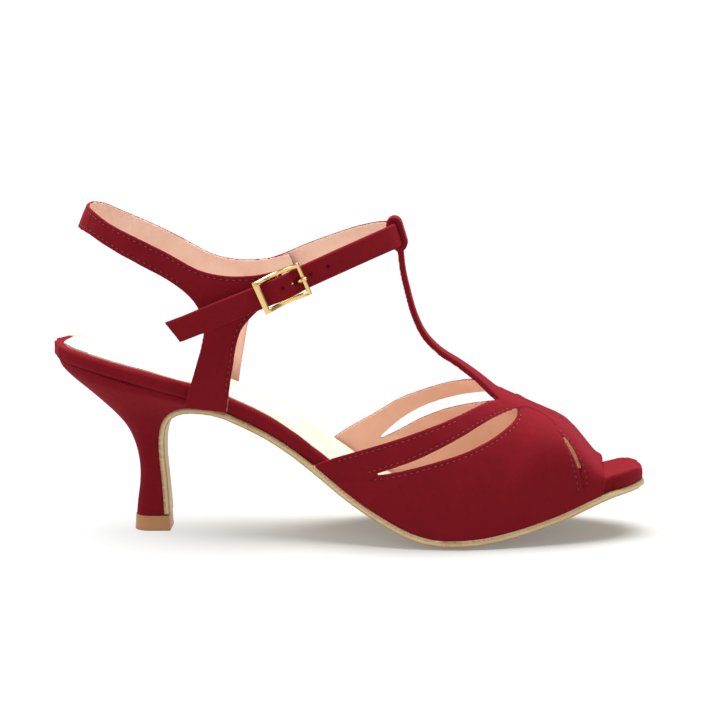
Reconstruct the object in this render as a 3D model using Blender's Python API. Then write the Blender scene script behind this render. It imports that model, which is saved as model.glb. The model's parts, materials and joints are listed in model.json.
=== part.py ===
"""A T strap sandal for the right foot, standing empty on its heel and its tread.

X runs to the toe, +Y is the inner side of the foot, and Z is up. The origin is the centre of
the flat spot of the tread, on the floor. Every length is in metres.
"""

import math
from collections import namedtuple

import bmesh
import bpy
from mathutils import Matrix, Vector

MM = 0.001

# Sizes of the whole shoe.
SOLE_LENGTH = 232.2 * MM  # from the back of the heel seat to the tip of the toe, level
BALL_WIDTH = 76.0 * MM  # across the widest part of the sole
HEEL_RISE = 67.5 * MM  # how far the back of the footbed stands above the tread
TOE_SPRING = 19.0 * MM  # how far the tip of the toe stands above the floor
INSTEP_RISE = 56.5 * MM  # the top of the upper at the throat, above the floor
ANKLE_WIDTH = 53.0 * MM  # across the outside of the quarter
LOOP_RISE = 118.0 * MM  # the middle of the loop of the T strap, above the floor

# Thicknesses and widths of the pieces.
SOLE_THICK = 2.0 * MM
RAND_THICK = 6.4 * MM  # the footbed, wrapped in suede
SOCK_THICK = 1.0 * MM
WALL = 1.6 * MM  # suede, interlining and lining of the upper and the quarter
STRAP_THICK = 2.0 * MM
STRAP_WIDTH = 9.2 * MM
T_THICK = 2.2 * MM
T_WIDTH = 8.6 * MM
TIP_THICK = 6.0 * MM  # the top piece under the heel
LOOP_WALL = 1.5 * MM
EDGE_LIFT = 1.0 * MM  # how far the sides of the tread curve up
CUP_DEPTH = 0.8 * MM  # how far the middle of the footbed lies below its edge

# The buckle.
FRAME_LENGTH = 19.6 * MM
FRAME_HEIGHT = 13.3 * MM
BAR = 1.7 * MM
END_BAR = 2.3 * MM  # the flat bar on the side of the tail
MIDDLE_BAR = 0.85  # the middle bar's thickness as a share of the frame's
RAIL_LEVEL = 0.8  # the share of the half length where the bent rails level out
PRONG_BAR = 1.3 * MM

# Clearances.
GAP = 0.3 * MM
WALL_SEAT = 0.5 * MM  # under the wall of the upper
LOOP_SLACK = 0.6 * MM
SOCK_INSET = 1.6 * MM  # the red rim beside the sock lining
SOCK_BACK = 3.4 * MM  # the red rim behind it
PROUD = 0.8 * MM  # how far a leg of the quarter stands out from the rand
FLUSH = 0.4 * MM  # how far the bare rand lies inside the edge of the outsole
POINT_HALF = 0.3 * MM  # half the width that is left where the sole ends in a point

# How far the top piece stands out from the heel, behind and at its sides, and its taper.
TIP_BEHIND = 0.7 * MM
TIP_BESIDE = 0.3 * MM
TIP_TAPER = 0.4 * MM

# Where walls stand outside the footbed, as shares of the sole length: the start and the end
# of the upper's panels and of the quarter's legs, each from 0 to full.
PANEL_START = (-0.240, -0.228)
PANEL_END = (0.273, 0.283)
LEG_START = (-0.452, -0.443)
LEG_END = (-0.366, -0.357)

# The sock lining's front end, and where its sides begin and end to round in towards it.
SOCK_END = 0.197
SOCK_ROUND_START = 0.150
SOCK_ROUND_END = 0.215
SOCK_ROUNDING = 5.0 * MM

# The outline of the sole: x as a share of its length, the sides as shares of the ball width.
Outline = namedtuple("Outline", "x lateral medial")
OUTLINE = (
    Outline(-0.671, 0.000, 0.000),
    Outline(-0.667, 0.110, 0.110),
    Outline(-0.655, 0.195, 0.195),
    Outline(-0.630, 0.272, 0.272),
    Outline(-0.595, 0.318, 0.318),
    Outline(-0.550, 0.338, 0.335),
    Outline(-0.495, 0.332, 0.322),
    Outline(-0.430, 0.310, 0.290),
    Outline(-0.366, 0.297, 0.262),
    Outline(-0.300, 0.303, 0.250),
    Outline(-0.237, 0.336, 0.270),
    Outline(-0.172, 0.388, 0.329),
    Outline(-0.108, 0.447, 0.408),
    Outline(-0.043, 0.490, 0.470),
    Outline(0.010, 0.500, 0.500),
    Outline(0.060, 0.478, 0.507),
    Outline(0.110, 0.430, 0.492),
    Outline(0.165, 0.365, 0.455),
    Outline(0.220, 0.292, 0.397),
    Outline(0.260, 0.222, 0.345),
    Outline(0.293, 0.150, 0.285),
    Outline(0.315, 0.075, 0.215),
    Outline(0.326, 0.000, 0.130),
    Outline(0.329, -0.040, 0.070),
)

# The top of the outsole above its flat spot. Behind the ball the rise is a share of the heel
# rise, and in front of it a share of the toe spring.
Rise = namedtuple("Rise", "x rise")
SHANK_RISE = (
    Rise(-0.3700, 0.7000),
    Rise(-0.3187, 0.6170),
    Rise(-0.2670, 0.5080),
    Rise(-0.2153, 0.3740),
    Rise(-0.1637, 0.2370),
    Rise(-0.1120, 0.1260),
    Rise(-0.0603, 0.0380),
    Rise(-0.0280, 0.0075),
    Rise(-0.0130, 0.0000),
    Rise(0.0130, 0.0000),
)
TOE_RISE = (
    Rise(-0.0130, 0.0000),
    Rise(0.0130, 0.0000),
    Rise(0.0474, 0.0230),
    Rise(0.1034, 0.1370),
    Rise(0.1809, 0.4000),
    Rise(0.2541, 0.7420),
    Rise(0.2929, 0.8890),
    Rise(0.3290, 1.0000),
)
# The underside of the footbed over the heel, as a share of the heel rise.
SEAT_RISE = (
    Rise(-0.6710, 1.0050),
    Rise(-0.6055, 0.9510),
    Rise(-0.5383, 0.8860),
    Rise(-0.4694, 0.8200),
    Rise(-0.4177, 0.7640),
    Rise(-0.3700, 0.7000),
)
# The thickness of the footbed, straight up, as a share of the rand.
RAND = (
    Rise(-0.6710, 0.86),
    Rise(-0.5900, 0.93),
    Rise(-0.5383, 0.96),
    Rise(-0.4177, 1.02),
    Rise(-0.3316, 1.08),
    Rise(-0.2498, 1.26),
    Rise(-0.1637, 1.28),
    Rise(-0.0646, 1.12),
    Rise(0.1292, 1.08),
    Rise(0.2584, 1.14),
    Rise(0.2950, 1.13),
    Rise(0.3180, 0.98),
    Rise(0.3290, 0.74),
)

# The heel, from its tip to its seat. The front is where the outsole runs down the breast. All
# x are shares of the sole length, all z of the heel rise, and the halves of the ball width.
HeelRow = namedtuple("HeelRow", "front_x front_z front_half back_x back_z half")
HEEL_ROWS = (
    HeelRow(-0.4823, 0.0640, 0.0900, -0.5332, 0.0640, 0.0980),
    HeelRow(-0.4836, 0.1410, 0.0830, -0.5314, 0.1410, 0.0910),
    HeelRow(-0.4858, 0.2340, 0.0760, -0.5276, 0.2370, 0.0830),
    HeelRow(-0.4880, 0.3160, 0.0735, -0.5268, 0.3300, 0.0800),
    HeelRow(-0.4905, 0.4100, 0.0790, -0.5306, 0.4300, 0.0870),
    HeelRow(-0.4905, 0.5190, 0.0920, -0.5396, 0.5270, 0.1060),
    HeelRow(-0.4849, 0.6070, 0.1250, -0.5534, 0.6090, 0.1400),
    HeelRow(-0.4711, 0.6760, 0.1700, -0.5767, 0.6950, 0.1870),
    HeelRow(-0.4479, 0.7160, 0.2200, -0.6098, 0.7985, 0.2480),
    HeelRow(-0.4221, 0.7240, 0.2500, -0.6434, 0.8960, 0.2980),
    HeelRow(-0.3962, 0.7170, 0.2600, -0.6589, 0.9480, 0.3200),
)
SEAT_FRONT = -0.386  # where the thin front lip of the heel seat ends
SEAT_BACK = -0.6645
SEAT_HALF = 0.328

# The ridge of the last, whose height is a share of the instep rise.
Ridge = namedtuple("Ridge", "x z")
RIDGE = (
    Ridge(-0.2700, 1.620),
    Ridge(-0.1700, 1.540),
    Ridge(-0.0860, 1.390),
    Ridge(-0.0130, 1.240),
    Ridge(0.0390, 1.120),
    Ridge(0.0861, 1.003),
    Ridge(0.1120, 0.952),
    Ridge(0.1421, 0.888),
    Ridge(0.1654, 0.837),
    Ridge(0.1925, 0.777),
    Ridge(0.2196, 0.668),
    Ridge(0.2351, 0.583),
    Ridge(0.2470, 0.522),
    Ridge(0.2640, 0.480),
)
RIDGE_ROUND = 2.3  # 2 is an ellipse, and more is squarer
TOE_ROUND = 4.8  # squarer over the low toe
TOE_TUCK = 0.7 * MM  # how much further in the footbed lies under the low toe
SIDE_BULGE = 0.025

# Where the wall of the upper begins and ends, before it is cut.
UPPER_START = -0.262
UPPER_END = 0.264
# How far the cuts reach beyond it, and where those of the two sides meet.
CUT_TOP = 2.2
CUT_BACK = -0.36
CUT_FRONT = 0.33
CUT_OVERLAP = 0.5 * MM
RIDGE_MIDDLE = 2.0 * MM

# Edges of the upper seen from the side. x is a share of the sole length, and the heights of
# the outer and the inner side of the foot are shares of the instep rise.
Edge = namedtuple("Edge", "x lateral medial")
COLLAR_EDGE = (
    Edge(-0.1900, 0.020, 0.060),
    Edge(-0.2120, 0.340, 0.360),
    Edge(-0.2240, 0.520, 0.500),
    Edge(-0.1970, 0.584, 0.600),
    Edge(-0.1690, 0.626, 0.670),
    Edge(-0.1296, 0.682, 0.755),
    Edge(-0.0904, 0.736, 0.850),
    Edge(-0.0517, 0.793, 0.912),
    Edge(-0.0129, 0.850, 0.970),
    Edge(0.0250, 0.910, 1.010),
    Edge(0.0560, 0.955, 1.020),
    Edge(0.0760, 0.962, 1.000),
    Edge(0.0840, 0.950, 0.980),
)
SLIT_TOP = (
    Edge(-0.1318, 0.485, 0.540),
    Edge(-0.0904, 0.549, 0.690),
    Edge(-0.0512, 0.612, 0.786),
    Edge(-0.0125, 0.688, 0.848),
    Edge(0.0263, 0.770, 0.893),
    Edge(0.0642, 0.850, 0.925),
    Edge(0.0939, 0.890, 0.930),
    Edge(0.1150, 0.905, 0.925),
)
SLIT_BASE = (
    Edge(-0.1318, 0.485, 0.540),
    Edge(-0.0904, 0.517, 0.618),
    Edge(-0.0512, 0.560, 0.702),
    Edge(-0.0125, 0.607, 0.765),
    Edge(0.0263, 0.656, 0.808),
    Edge(0.0642, 0.722, 0.842),
    Edge(0.0939, 0.790, 0.868),
    Edge(0.1120, 0.850, 0.895),
    Edge(0.1150, 0.905, 0.925),
)
TOE_SLIT = (
    Edge(0.1790, 0.775, 0.775),
    Edge(0.1960, 0.703, 0.703),
    Edge(0.2145, 0.575, 0.575),
    Edge(0.2222, 0.460, 0.460),
    Edge(0.2257, 0.342, 0.342),
)
TOE_SLIT_WIDTH = 1.5 * MM
TOE_SLIT_TAPER = 0.6  # smaller is blunter
TOE_EDGE = (
    Edge(0.2410, 0.800, 0.800),
    Edge(0.2475, 0.548, 0.548),
    Edge(0.2537, 0.522, 0.522),
    Edge(0.2606, 0.457, 0.457),
    Edge(0.2614, 0.372, 0.372),
    Edge(0.2560, 0.280, 0.280),
    Edge(0.2500, 0.100, 0.100),
)

# The T strap, from the saddle up to its loop. x is a share of the sole length, z of the way
# from the instep up to the loop, and half is a share of the strap's own width.
TRow = namedtuple("TRow", "x z half")
T_ROWS = (
    TRow(0.1150, -0.060, 0.95),
    TRow(0.0861, 0.000, 1.20),
    TRow(0.0517, 0.100, 0.85),
    TRow(0.0172, 0.189, 0.62),
    TRow(-0.0129, 0.259, 0.54),
    TRow(-0.0388, 0.357, 0.50),
    TRow(-0.0560, 0.488, 0.49),
    TRow(-0.0668, 0.630, 0.49),
    TRow(-0.0754, 0.770, 0.49),
    TRow(-0.0792, 0.900, 0.49),
)
LOOP_X = -0.0898
LOOP_LEAN = math.radians(17)

# The quarter seen from the side. x is a share of the sole length, z of the loop's height.
Side = namedtuple("Side", "x z")
QUARTER_TOP = (
    Side(-0.6720, 1.1080),
    Side(-0.6072, 1.0930),
    Side(-0.5642, 1.0490),
    Side(-0.5142, 1.0030),
    Side(-0.4643, 0.9550),
    Side(-0.4143, 0.9020),
    Side(-0.3700, 0.8830),
    Side(-0.3273, 0.8840),
    Side(-0.3000, 0.8930),
    Side(-0.2791, 0.9030),
)
QUARTER_LEG_FRONT = (
    Side(-0.2645, 0.8330),
    Side(-0.2900, 0.8130),
    Side(-0.3144, 0.7710),
    Side(-0.3316, 0.7370),
    Side(-0.3445, 0.7020),
    Side(-0.3523, 0.6520),
    Side(-0.3575, 0.5860),
    Side(-0.3622, 0.5340),
    Side(-0.3690, 0.4300),
)
QUARTER_LEG_BACK = (
    Side(-0.4400, 0.4430),
    Side(-0.4350, 0.4830),
    Side(-0.4285, 0.5280),
    Side(-0.4199, 0.5850),
    Side(-0.4117, 0.6460),
    Side(-0.4066, 0.7060),
    Side(-0.4105, 0.7520),
    Side(-0.4225, 0.7970),
    Side(-0.4450, 0.8400),
    Side(-0.4767, 0.8810),
    Side(-0.5267, 0.9310),
    Side(-0.5771, 0.9840),
    Side(-0.6100, 1.0150),
    Side(-0.6720, 1.0330),
)
# Half the width of the quarter at each height, as a share of the ankle width, and where its
# back lies, as a share of the sole length.
Sleeve = namedtuple("Sleeve", "z half back")
SLEEVE = (
    Sleeve(0.405, 0.470, -0.730),
    Sleeve(0.500, 0.474, -0.710),
    Sleeve(0.600, 0.482, -0.690),
    Sleeve(0.700, 0.490, -0.674),
    Sleeve(0.800, 0.498, -0.660),
    Sleeve(0.900, 0.500, -0.648),
    Sleeve(1.000, 0.494, -0.632),
    Sleeve(1.060, 0.488, -0.620),
    Sleeve(1.130, 0.480, -0.604),
)
SLEEVE_ROUND = (0.95, 0.85)  # powers of the back's curve, along the foot and across it
SLEEVE_PINCH = 1.0 * MM  # how far the front ends of the sides turn in
PINCH_END = 0.3  # the share of the side over which they do
SLEEVE_FRONT = -0.250
SLEEVE_TURN = -0.500  # where the sides begin to turn in to the back

# The ankle strap from its free tail through the loop to its sewn end. x is a share of the sole
# length, y of the ankle width, z of the loop's height, and lean is in degrees.
StrapRow = namedtuple("StrapRow", "x y z lean")
STRAP_ROWS = (
    StrapRow(-0.4556, -0.592, 0.7030, 0),
    StrapRow(-0.4250, -0.583, 0.7260, 0),
    StrapRow(-0.3880, -0.570, 0.7570, 0),
    StrapRow(-0.3253, -0.546, 0.8060, 0),
    StrapRow(-0.2757, -0.525, 0.8475, 0),
    StrapRow(-0.2400, -0.488, 0.8800, 2),
    StrapRow(-0.1980, -0.415, 0.9150, 4),
    StrapRow(-0.1560, -0.325, 0.9490, 8),
    StrapRow(-0.1210, -0.230, 0.9760, 12),
    StrapRow(-0.0990, -0.150, 0.9920, 16),
    StrapRow(-0.0895, -0.070, 0.9985, 17),
    StrapRow(-0.0883, 0.000, 1.0000, 17),
    StrapRow(-0.0895, 0.070, 0.9990, 17),
    StrapRow(-0.0990, 0.150, 0.9960, 16),
    StrapRow(-0.1210, 0.230, 0.9890, 12),
    StrapRow(-0.1560, 0.325, 0.9690, 8),
    StrapRow(-0.1980, 0.415, 0.9370, 4),
    StrapRow(-0.2400, 0.486, 0.9030, 2),
    StrapRow(-0.2780, 0.526, 0.8690, 0),
    StrapRow(-0.3150, 0.532, 0.8420, 0),
)
TAIL_SLANT = 0.31
BUCKLE_ROW = 4  # the row of the table above that the buckle's middle bar crosses
STRAP_RIDE = 1.5 * MM  # how far the strap bulges out over the middle bar
STRAP_STEPS = 4  # sections of the strap between two rows of the table

# Places along the buckle, from its middle, as shares of its length. The bulge of the strap
# rises between the first two and falls between the last two. The prong runs under the strap,
# comes up through its hole and lies over the front bar.
BULGE_RISE = (-0.367, -0.128)
BULGE_FALL = (0.230, 0.408)
PRONG_RUN = (0.235, 0.322, 0.378, 0.466, 0.515)
HOLE_PLACE = 0.300
HOLE_HALF = 0.097

STATIONS = 32
SEAT_STATIONS = 14
ACROSS = 22

# Colour, roughness and metallic value.
SUEDE = ("red_suede", (0.38, 0.010, 0.018, 1.0), 0.9, 0.0)
SOLE_LEATHER = ("tan_sole_leather", (0.62, 0.42, 0.25, 1.0), 0.55, 0.0)
SOCK_LEATHER = ("cream_sock_leather", (0.86, 0.78, 0.66, 1.0), 0.5, 0.0)
TIP_RUBBER = ("tan_top_piece", (0.42, 0.25, 0.14, 1.0), 0.6, 0.0)
GOLD = ("gold_plate", (0.90, 0.62, 0.22, 1.0), 0.25, 1.0)


def along(table, at, column):
    """Reads a column of a table at a place in its first column, with no overshoot."""
    xs = [row[0] for row in table]
    ys = [getattr(row, column) for row in table]
    at = min(max(at, xs[0]), xs[-1])
    k = max(i for i in range(len(xs) - 1) if xs[i] <= at)
    slopes = [(ys[i + 1] - ys[i]) / (xs[i + 1] - xs[i]) for i in range(len(xs) - 1)]

    def tangent(i):
        if i == 0 or i == len(xs) - 1:
            return slopes[min(i, len(slopes) - 1)]
        before, after = slopes[i - 1], slopes[i]
        return 0.0 if before * after <= 0 else 2 * before * after / (before + after)

    step = xs[k + 1] - xs[k]
    t = (at - xs[k]) / step
    first = ys[k] * (1 + 2 * t) * (1 - t) ** 2 + tangent(k) * step * t * (1 - t) ** 2
    second = ys[k + 1] * t * t * (3 - 2 * t) + tangent(k + 1) * step * t * t * (t - 1)
    return first + second


def smooth_curve(points, steps):
    """A smooth curve through points, with the given number of steps between each pair."""
    ends = [points[0] * 2 - points[1]] + list(points) + [points[-1] * 2 - points[-2]]
    curve = []
    for i in range(1, len(ends) - 2):
        a, b, c, d = ends[i - 1 : i + 3]
        for k in range(steps):
            t = k / steps
            curve.append(
                0.5 * (2 * b + (c - a) * t + (2 * a - 5 * b + 4 * c - d) * t * t)
                + 0.5 * (3 * b - a - 3 * c + d) * t**3
            )
    return curve + [points[-1]]


def smooth_step(value, low, high):
    t = min(max((value - low) / (high - low), 0.0), 1.0)
    return t * t * (3 - 2 * t)


def sole_half(x, side):
    """Half the width of the sole at x, on the outer side (-1) or the inner side (1)."""
    column = "medial" if side > 0 else "lateral"
    return along(OUTLINE, x / SOLE_LENGTH, column) * BALL_WIDTH


def sole_y(x, share, inset=0.0):
    """The y at a share of the way from the middle of the sole (0) to an edge (-1 or 1)."""
    low = -sole_half(x, -1)
    high = sole_half(x, 1)
    middle = (low + high) / 2
    half = max((high - low) / 2 - inset, POINT_HALF)
    return middle + share * half


def edge_lift(x, share):
    """How far the tread curves up beside its flat middle. The waist and the tip are flat."""
    place = x / SOLE_LENGTH
    beside = max(0.0, abs(share) - 0.5) / 0.5
    fade = smooth_step(place, -0.37, -0.2) * (1 - smooth_step(place, 0.27, 0.32))
    return EDGE_LIFT * beside**2 * fade


def sole_top(x):
    """The middle of the top of the outsole."""
    place = x / SOLE_LENGTH
    if place < 0:
        return SOLE_THICK + along(SHANK_RISE, place, "rise") * HEEL_RISE
    return SOLE_THICK + along(TOE_RISE, place, "rise") * TOE_SPRING


def footbed_under(x):
    """The middle of the underside of the footbed, on the outsole or on the heel."""
    place = x / SOLE_LENGTH
    if place < SEAT_RISE[-1].x:
        return SOLE_THICK + along(SEAT_RISE, place, "rise") * HEEL_RISE + GAP
    return sole_top(x) + GAP


def footbed_top(x):
    return footbed_under(x) + along(RAND, x / SOLE_LENGTH, "rise") * RAND_THICK


def cover(x):
    """From 0 to 1, how far the upper's panels and the quarter's legs stand outside the footbed."""
    place = x / SOLE_LENGTH
    panels = smooth_step(place, *PANEL_START) * (1 - smooth_step(place, *PANEL_END))
    legs = smooth_step(place, *LEG_START) * (1 - smooth_step(place, *LEG_END))
    return panels, legs


def toe_share(x):
    return smooth_step(x / SOLE_LENGTH, 0.10, 0.24)


def footbed_inset(x):
    panels, legs = cover(x)
    under_panels = (WALL + 2 * GAP - FLUSH + TOE_TUCK * toe_share(x)) * panels
    under_legs = (WALL + GAP - PROUD - FLUSH) * legs
    return FLUSH + under_panels + under_legs


def make_material(name, colour, roughness, metallic):
    material = bpy.data.materials.get(name)
    if material:
        return material
    material = bpy.data.materials.new(name)
    material.use_nodes = True
    shader = material.node_tree.nodes["Principled BSDF"]
    shader.inputs["Base Color"].default_value = colour
    shader.inputs["Roughness"].default_value = roughness
    shader.inputs["Metallic"].default_value = metallic
    return material


def make_object(name, verts, faces, finish):
    """A closed body, with its faces turned out."""
    mesh = bpy.data.meshes.new(name)
    mesh.from_pydata([tuple(v) for v in verts], [], faces)
    body = bmesh.new()
    body.from_mesh(mesh)
    bmesh.ops.recalc_face_normals(body, faces=body.faces)
    if body.calc_volume(signed=True) < 0:
        bmesh.ops.reverse_faces(body, faces=body.faces)
    body.to_mesh(mesh)
    body.free()
    mesh.materials.append(make_material(*finish))
    mesh.shade_smooth()
    mesh.set_sharp_from_angle(angle=math.radians(35))
    thing = bpy.data.objects.new(name, mesh)
    bpy.context.scene.collection.objects.link(thing)
    return thing


def loft(name, rings, finish, closed=False, ladder=False):
    """A body through rings of equal length. A ladder cap joins the points across from each
    other, for an end that isn't flat: its ring starts with a single point at the back."""
    count = len(rings[0])
    verts = [v for ring in rings for v in ring]
    faces = []
    for r in range(len(rings) if closed else len(rings) - 1):
        here = r * count
        there = (r + 1) % len(rings) * count
        for i in range(count):
            j = (i + 1) % count
            faces.append((here + i, here + j, there + j, there + i))
    if not closed:
        for start in (0, (len(rings) - 1) * count):
            if ladder:
                faces.append((start, start + 1, start + count - 1))
                for i in range(1, count // 2):
                    faces.append(
                        (start + i, start + i + 1, start + count - i - 1, start + count - i)
                    )
            else:
                faces.append(tuple(range(start, start + count)))
    return make_object(name, verts, faces, finish)


def shell(name, outside, inside, finish):
    """A wall between two grids of points, closed round its rim."""
    rows, columns = len(outside), len(outside[0])
    verts = [v for grid in (outside, inside) for row in grid for v in row]

    def at(layer, i, j):
        return layer * rows * columns + i * columns + j

    faces = []
    for layer in (0, 1):
        for i in range(rows - 1):
            for j in range(columns - 1):
                low, high = at(layer, i, j), at(layer, i + 1, j)
                faces.append((low, high, high + 1, low + 1))
    for i in range(rows - 1):
        for j in (0, columns - 1):
            faces.append((at(0, i, j), at(0, i + 1, j), at(1, i + 1, j), at(1, i, j)))
    for j in range(columns - 1):
        for i in (0, rows - 1):
            faces.append((at(0, i, j), at(0, i, j + 1), at(1, i, j + 1), at(1, i, j)))
    return make_object(name, verts, faces, finish)


def ribbon_ring(centre, wide, thick, half_width, half_thick):
    """The section of a strap: a rectangle with its edges taken off."""
    ease = 0.5 * half_thick
    corners = (
        (half_width, -half_thick + ease),
        (half_width, half_thick - ease),
        (half_width - ease, half_thick),
        (-half_width + ease, half_thick),
        (-half_width, half_thick - ease),
        (-half_width, -half_thick + ease),
        (-half_width + ease, -half_thick),
        (half_width - ease, -half_thick),
    )
    return [centre + wide * a + thick * b for a, b in corners]


def prism(name, outline, low, high):
    """A cutter: an outline of (x, z) points, pushed through in Y."""
    verts = [Vector((x, y, z)) for y in (low, high) for x, z in outline]
    count = len(outline)
    faces = [tuple(range(count)), tuple(range(count, 2 * count))]
    for i in range(count):
        j = (i + 1) % count
        faces.append((i, j, count + j, count + i))
    cutter = make_object(name, verts, faces, SUEDE)
    hide(cutter)
    return cutter


def hide(thing):
    thing.hide_render = True
    thing.display_type = "WIRE"


def combine(body, other, operation):
    modifier = body.modifiers.new(other.name, "BOOLEAN")
    modifier.operation = operation
    modifier.object = other
    modifier.solver = "EXACT"


def spread(start, end, count):
    """Places from start to end that crowd together towards both ends."""
    middle, half = (start + end) / 2, (end - start) / 2
    return [middle - half * math.cos(math.pi * i / (count - 1)) for i in range(count)]


def sole_stations(start, end, count):
    """Places along the sole, even on the whole and closer at the round ends."""
    even = [start + (end - start) * i / (count - 1) for i in range(count)]
    crowded = spread(start, end, count)
    return [0.45 * a + 0.55 * b for a, b in zip(even, crowded)]


def tread_stations():
    """Places from the toe back to the heel, which the outsole and the footbed share."""
    return sole_stations(OUTLINE[-1].x * SOLE_LENGTH, SEAT_RISE[-1].x * SOLE_LENGTH, STATIONS)


def outsole_line():
    """The heel side of the outsole, as (x, z, outer half, inner half), from toe to heel tip."""
    rows = []
    for x in tread_stations():
        rows.append((Vector((x, 0, sole_top(x))), sole_half(x, -1), sole_half(x, 1)))
    knots = [rows[-1][0]]
    halves = [Vector((rows[-1][1], rows[-1][2], 0))]
    for row in reversed(HEEL_ROWS):
        z = SOLE_THICK + row.front_z * HEEL_RISE
        knots.append(Vector((row.front_x * SOLE_LENGTH, 0, z)))
        half = row.front_half * BALL_WIDTH
        halves.append(Vector((half, half, 0)))
    line = smooth_curve(knots, 2)[1:]
    widths = smooth_curve(halves, 2)[1:]
    rows += [(point, width.x, width.y) for point, width in zip(line, widths)]
    return rows


def outsole():
    """The thin leather sole, which runs on down the breast of the heel to the top piece."""
    rows = outsole_line()
    shares = (-1, -0.75, -0.5, 0, 0.5, 0.75, 1)
    rings = []
    for i, (point, lateral, medial) in enumerate(rows):
        before = rows[max(i - 1, 0)][0]
        after = rows[min(i + 1, len(rows) - 1)][0]
        run = (after - before).normalized()
        down = Vector((-run.z, 0, run.x))
        middle, half = (medial - lateral) / 2, max((medial + lateral) / 2, POINT_HALF)
        top, base = [], []
        for share in shares:
            lift = edge_lift(point.x, share)
            spot = point + Vector((0, middle + share * half, lift))
            top.append(spot)
            base.append(spot + down * SOLE_THICK)
        rings.append(top + base[::-1])
    return loft("outsole", rings, SOLE_LEATHER)


def breast_normal(i):
    """The direction from the outsole into the heel at a row of the heel."""
    rows = HEEL_ROWS
    low, high = rows[max(i - 1, 0)], rows[min(i + 1, len(rows) - 1)]
    run = Vector(
        ((high.front_x - low.front_x) * SOLE_LENGTH, 0, (high.front_z - low.front_z) * HEEL_RISE)
    ).normalized()
    return Vector((-run.z, 0, run.x))


def heel_row(front, back, half, front_half, height=None):
    """One ring of the heel, from the point at its back round to its flat front."""
    turn = 0.45  # the share of the length over which the back is round
    marks = (0, 0.012, 0.05, 0.11, 0.2, 0.31, 0.45, 0.63, 0.82, 1)
    right, left = [], []
    for mark in marks:
        spot = back.lerp(front, mark)
        if height:
            spot.z = height(spot.x)
        if mark < turn:
            bend = (1 - (1 - mark / turn) ** 2.2) ** (1 / 2.2)
            wide = half * bend
        else:
            wide = half + (front_half - half) * (mark - turn) / (1 - turn)
        right.append(spot + Vector((0, wide, 0)))
        left.append(spot - Vector((0, wide, 0)))
    return [right[0]] + right[1:] + left[:0:-1]


def heel():
    """The flared heel under the seat, covered in suede."""
    knots = []
    for i, row in enumerate(HEEL_ROWS):
        front = Vector((row.front_x * SOLE_LENGTH, 0, SOLE_THICK + row.front_z * HEEL_RISE))
        front += breast_normal(i) * GAP
        back = Vector((row.back_x * SOLE_LENGTH, 0, SOLE_THICK + row.back_z * HEEL_RISE))
        knots.append((front, back, Vector((row.half, row.front_half, 0)) * BALL_WIDTH))
    knots[0][0].z = knots[0][1].z = TIP_THICK + GAP
    fronts = smooth_curve([k[0] for k in knots], 2)
    backs = smooth_curve([k[1] for k in knots], 2)
    halves = smooth_curve([k[2] for k in knots], 2)
    rings = [heel_row(f, b, h.x, h.y) for f, b, h in zip(fronts, backs, halves)]
    front = Vector((SEAT_FRONT * SOLE_LENGTH, 0, 0))
    back = Vector((SEAT_BACK * SOLE_LENGTH, 0, 0))
    last = HEEL_ROWS[-1]
    rings.append(
        heel_row(
            front,
            back,
            SEAT_HALF * BALL_WIDTH,
            last.front_half * BALL_WIDTH,
            lambda x: footbed_under(x) - GAP,
        )
    )
    return loft("heel", rings, SUEDE, ladder=True)


def top_piece():
    """The hard tan piece that the heel stands on."""
    row = HEEL_ROWS[0]
    rings = []
    for share in (0.0, 0.5, 1.0):
        z, taken = TIP_THICK * share, TIP_TAPER * share
        front = Vector((row.front_x * SOLE_LENGTH + SOLE_THICK - taken, 0, z))
        back = Vector((row.back_x * SOLE_LENGTH - TIP_BEHIND + taken, 0, z))
        half = row.half * BALL_WIDTH + TIP_BESIDE - taken
        front_half = row.front_half * BALL_WIDTH + TIP_BESIDE - taken
        rings.append(heel_row(front, back, half, front_half))
    return loft("top_piece", rings, TIP_RUBBER, ladder=True)


def cup(share):
    """How far the top of the footbed lies below its edge."""
    return CUP_DEPTH * (1 - share * share)


def footbed():
    """The footbed board with its suede wrap, from the heel seat to the toe."""
    back, lip = OUTLINE[0].x * SOLE_LENGTH + FLUSH, SEAT_RISE[-1].x * SOLE_LENGTH
    stations = tread_stations() + sole_stations(lip, back, SEAT_STATIONS)[1:]
    stations[0] -= FLUSH
    tread = (-0.95, -0.6, -0.2, 0.2, 0.6, 0.95)
    rings = []
    for x in stations:
        inset = footbed_inset(x)
        under, top = footbed_under(x), footbed_top(x)
        ring = []
        for share in tread:
            lift = edge_lift(x, share)
            ring.append(Vector((x, sole_y(x, share, inset), under + lift)))
        for side in (1, -1):
            low = under + edge_lift(x, 1)
            marks = (0.22, 0.78) if side > 0 else (0.78, 0.22)
            for mark in marks:
                ring.append(Vector((x, sole_y(x, side, inset), low + (top - low) * mark)))
            if side > 0:
                for share in tread[::-1]:
                    ring.append(Vector((x, sole_y(x, share, inset), top - cup(share))))
        rings.append(ring)
    return loft("footbed", rings, SUEDE)


def sock_lining():
    """The cream leather sock on the footbed. It ends under the upper, short of the toe."""
    start = OUTLINE[0].x * SOLE_LENGTH + SOCK_BACK
    end = SOCK_END * SOLE_LENGTH
    shares = (-1, -0.6, -0.2, 0.2, 0.6, 1)
    rings = []
    for x in sole_stations(start, end, STATIONS - 6):
        inset = footbed_inset(x) + SOCK_INSET
        inset += SOCK_ROUNDING * smooth_step(x / SOLE_LENGTH, SOCK_ROUND_START, SOCK_ROUND_END)
        height = footbed_top(x) + GAP
        top, base = [], []
        for share in shares:
            spot = Vector((x, sole_y(x, share, inset), height - cup(share)))
            base.append(spot)
            top.append(spot + Vector((0, 0, SOCK_THICK)))
        rings.append(base + top[::-1])
    return loft("sock_lining", rings, SOCK_LEATHER)


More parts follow.
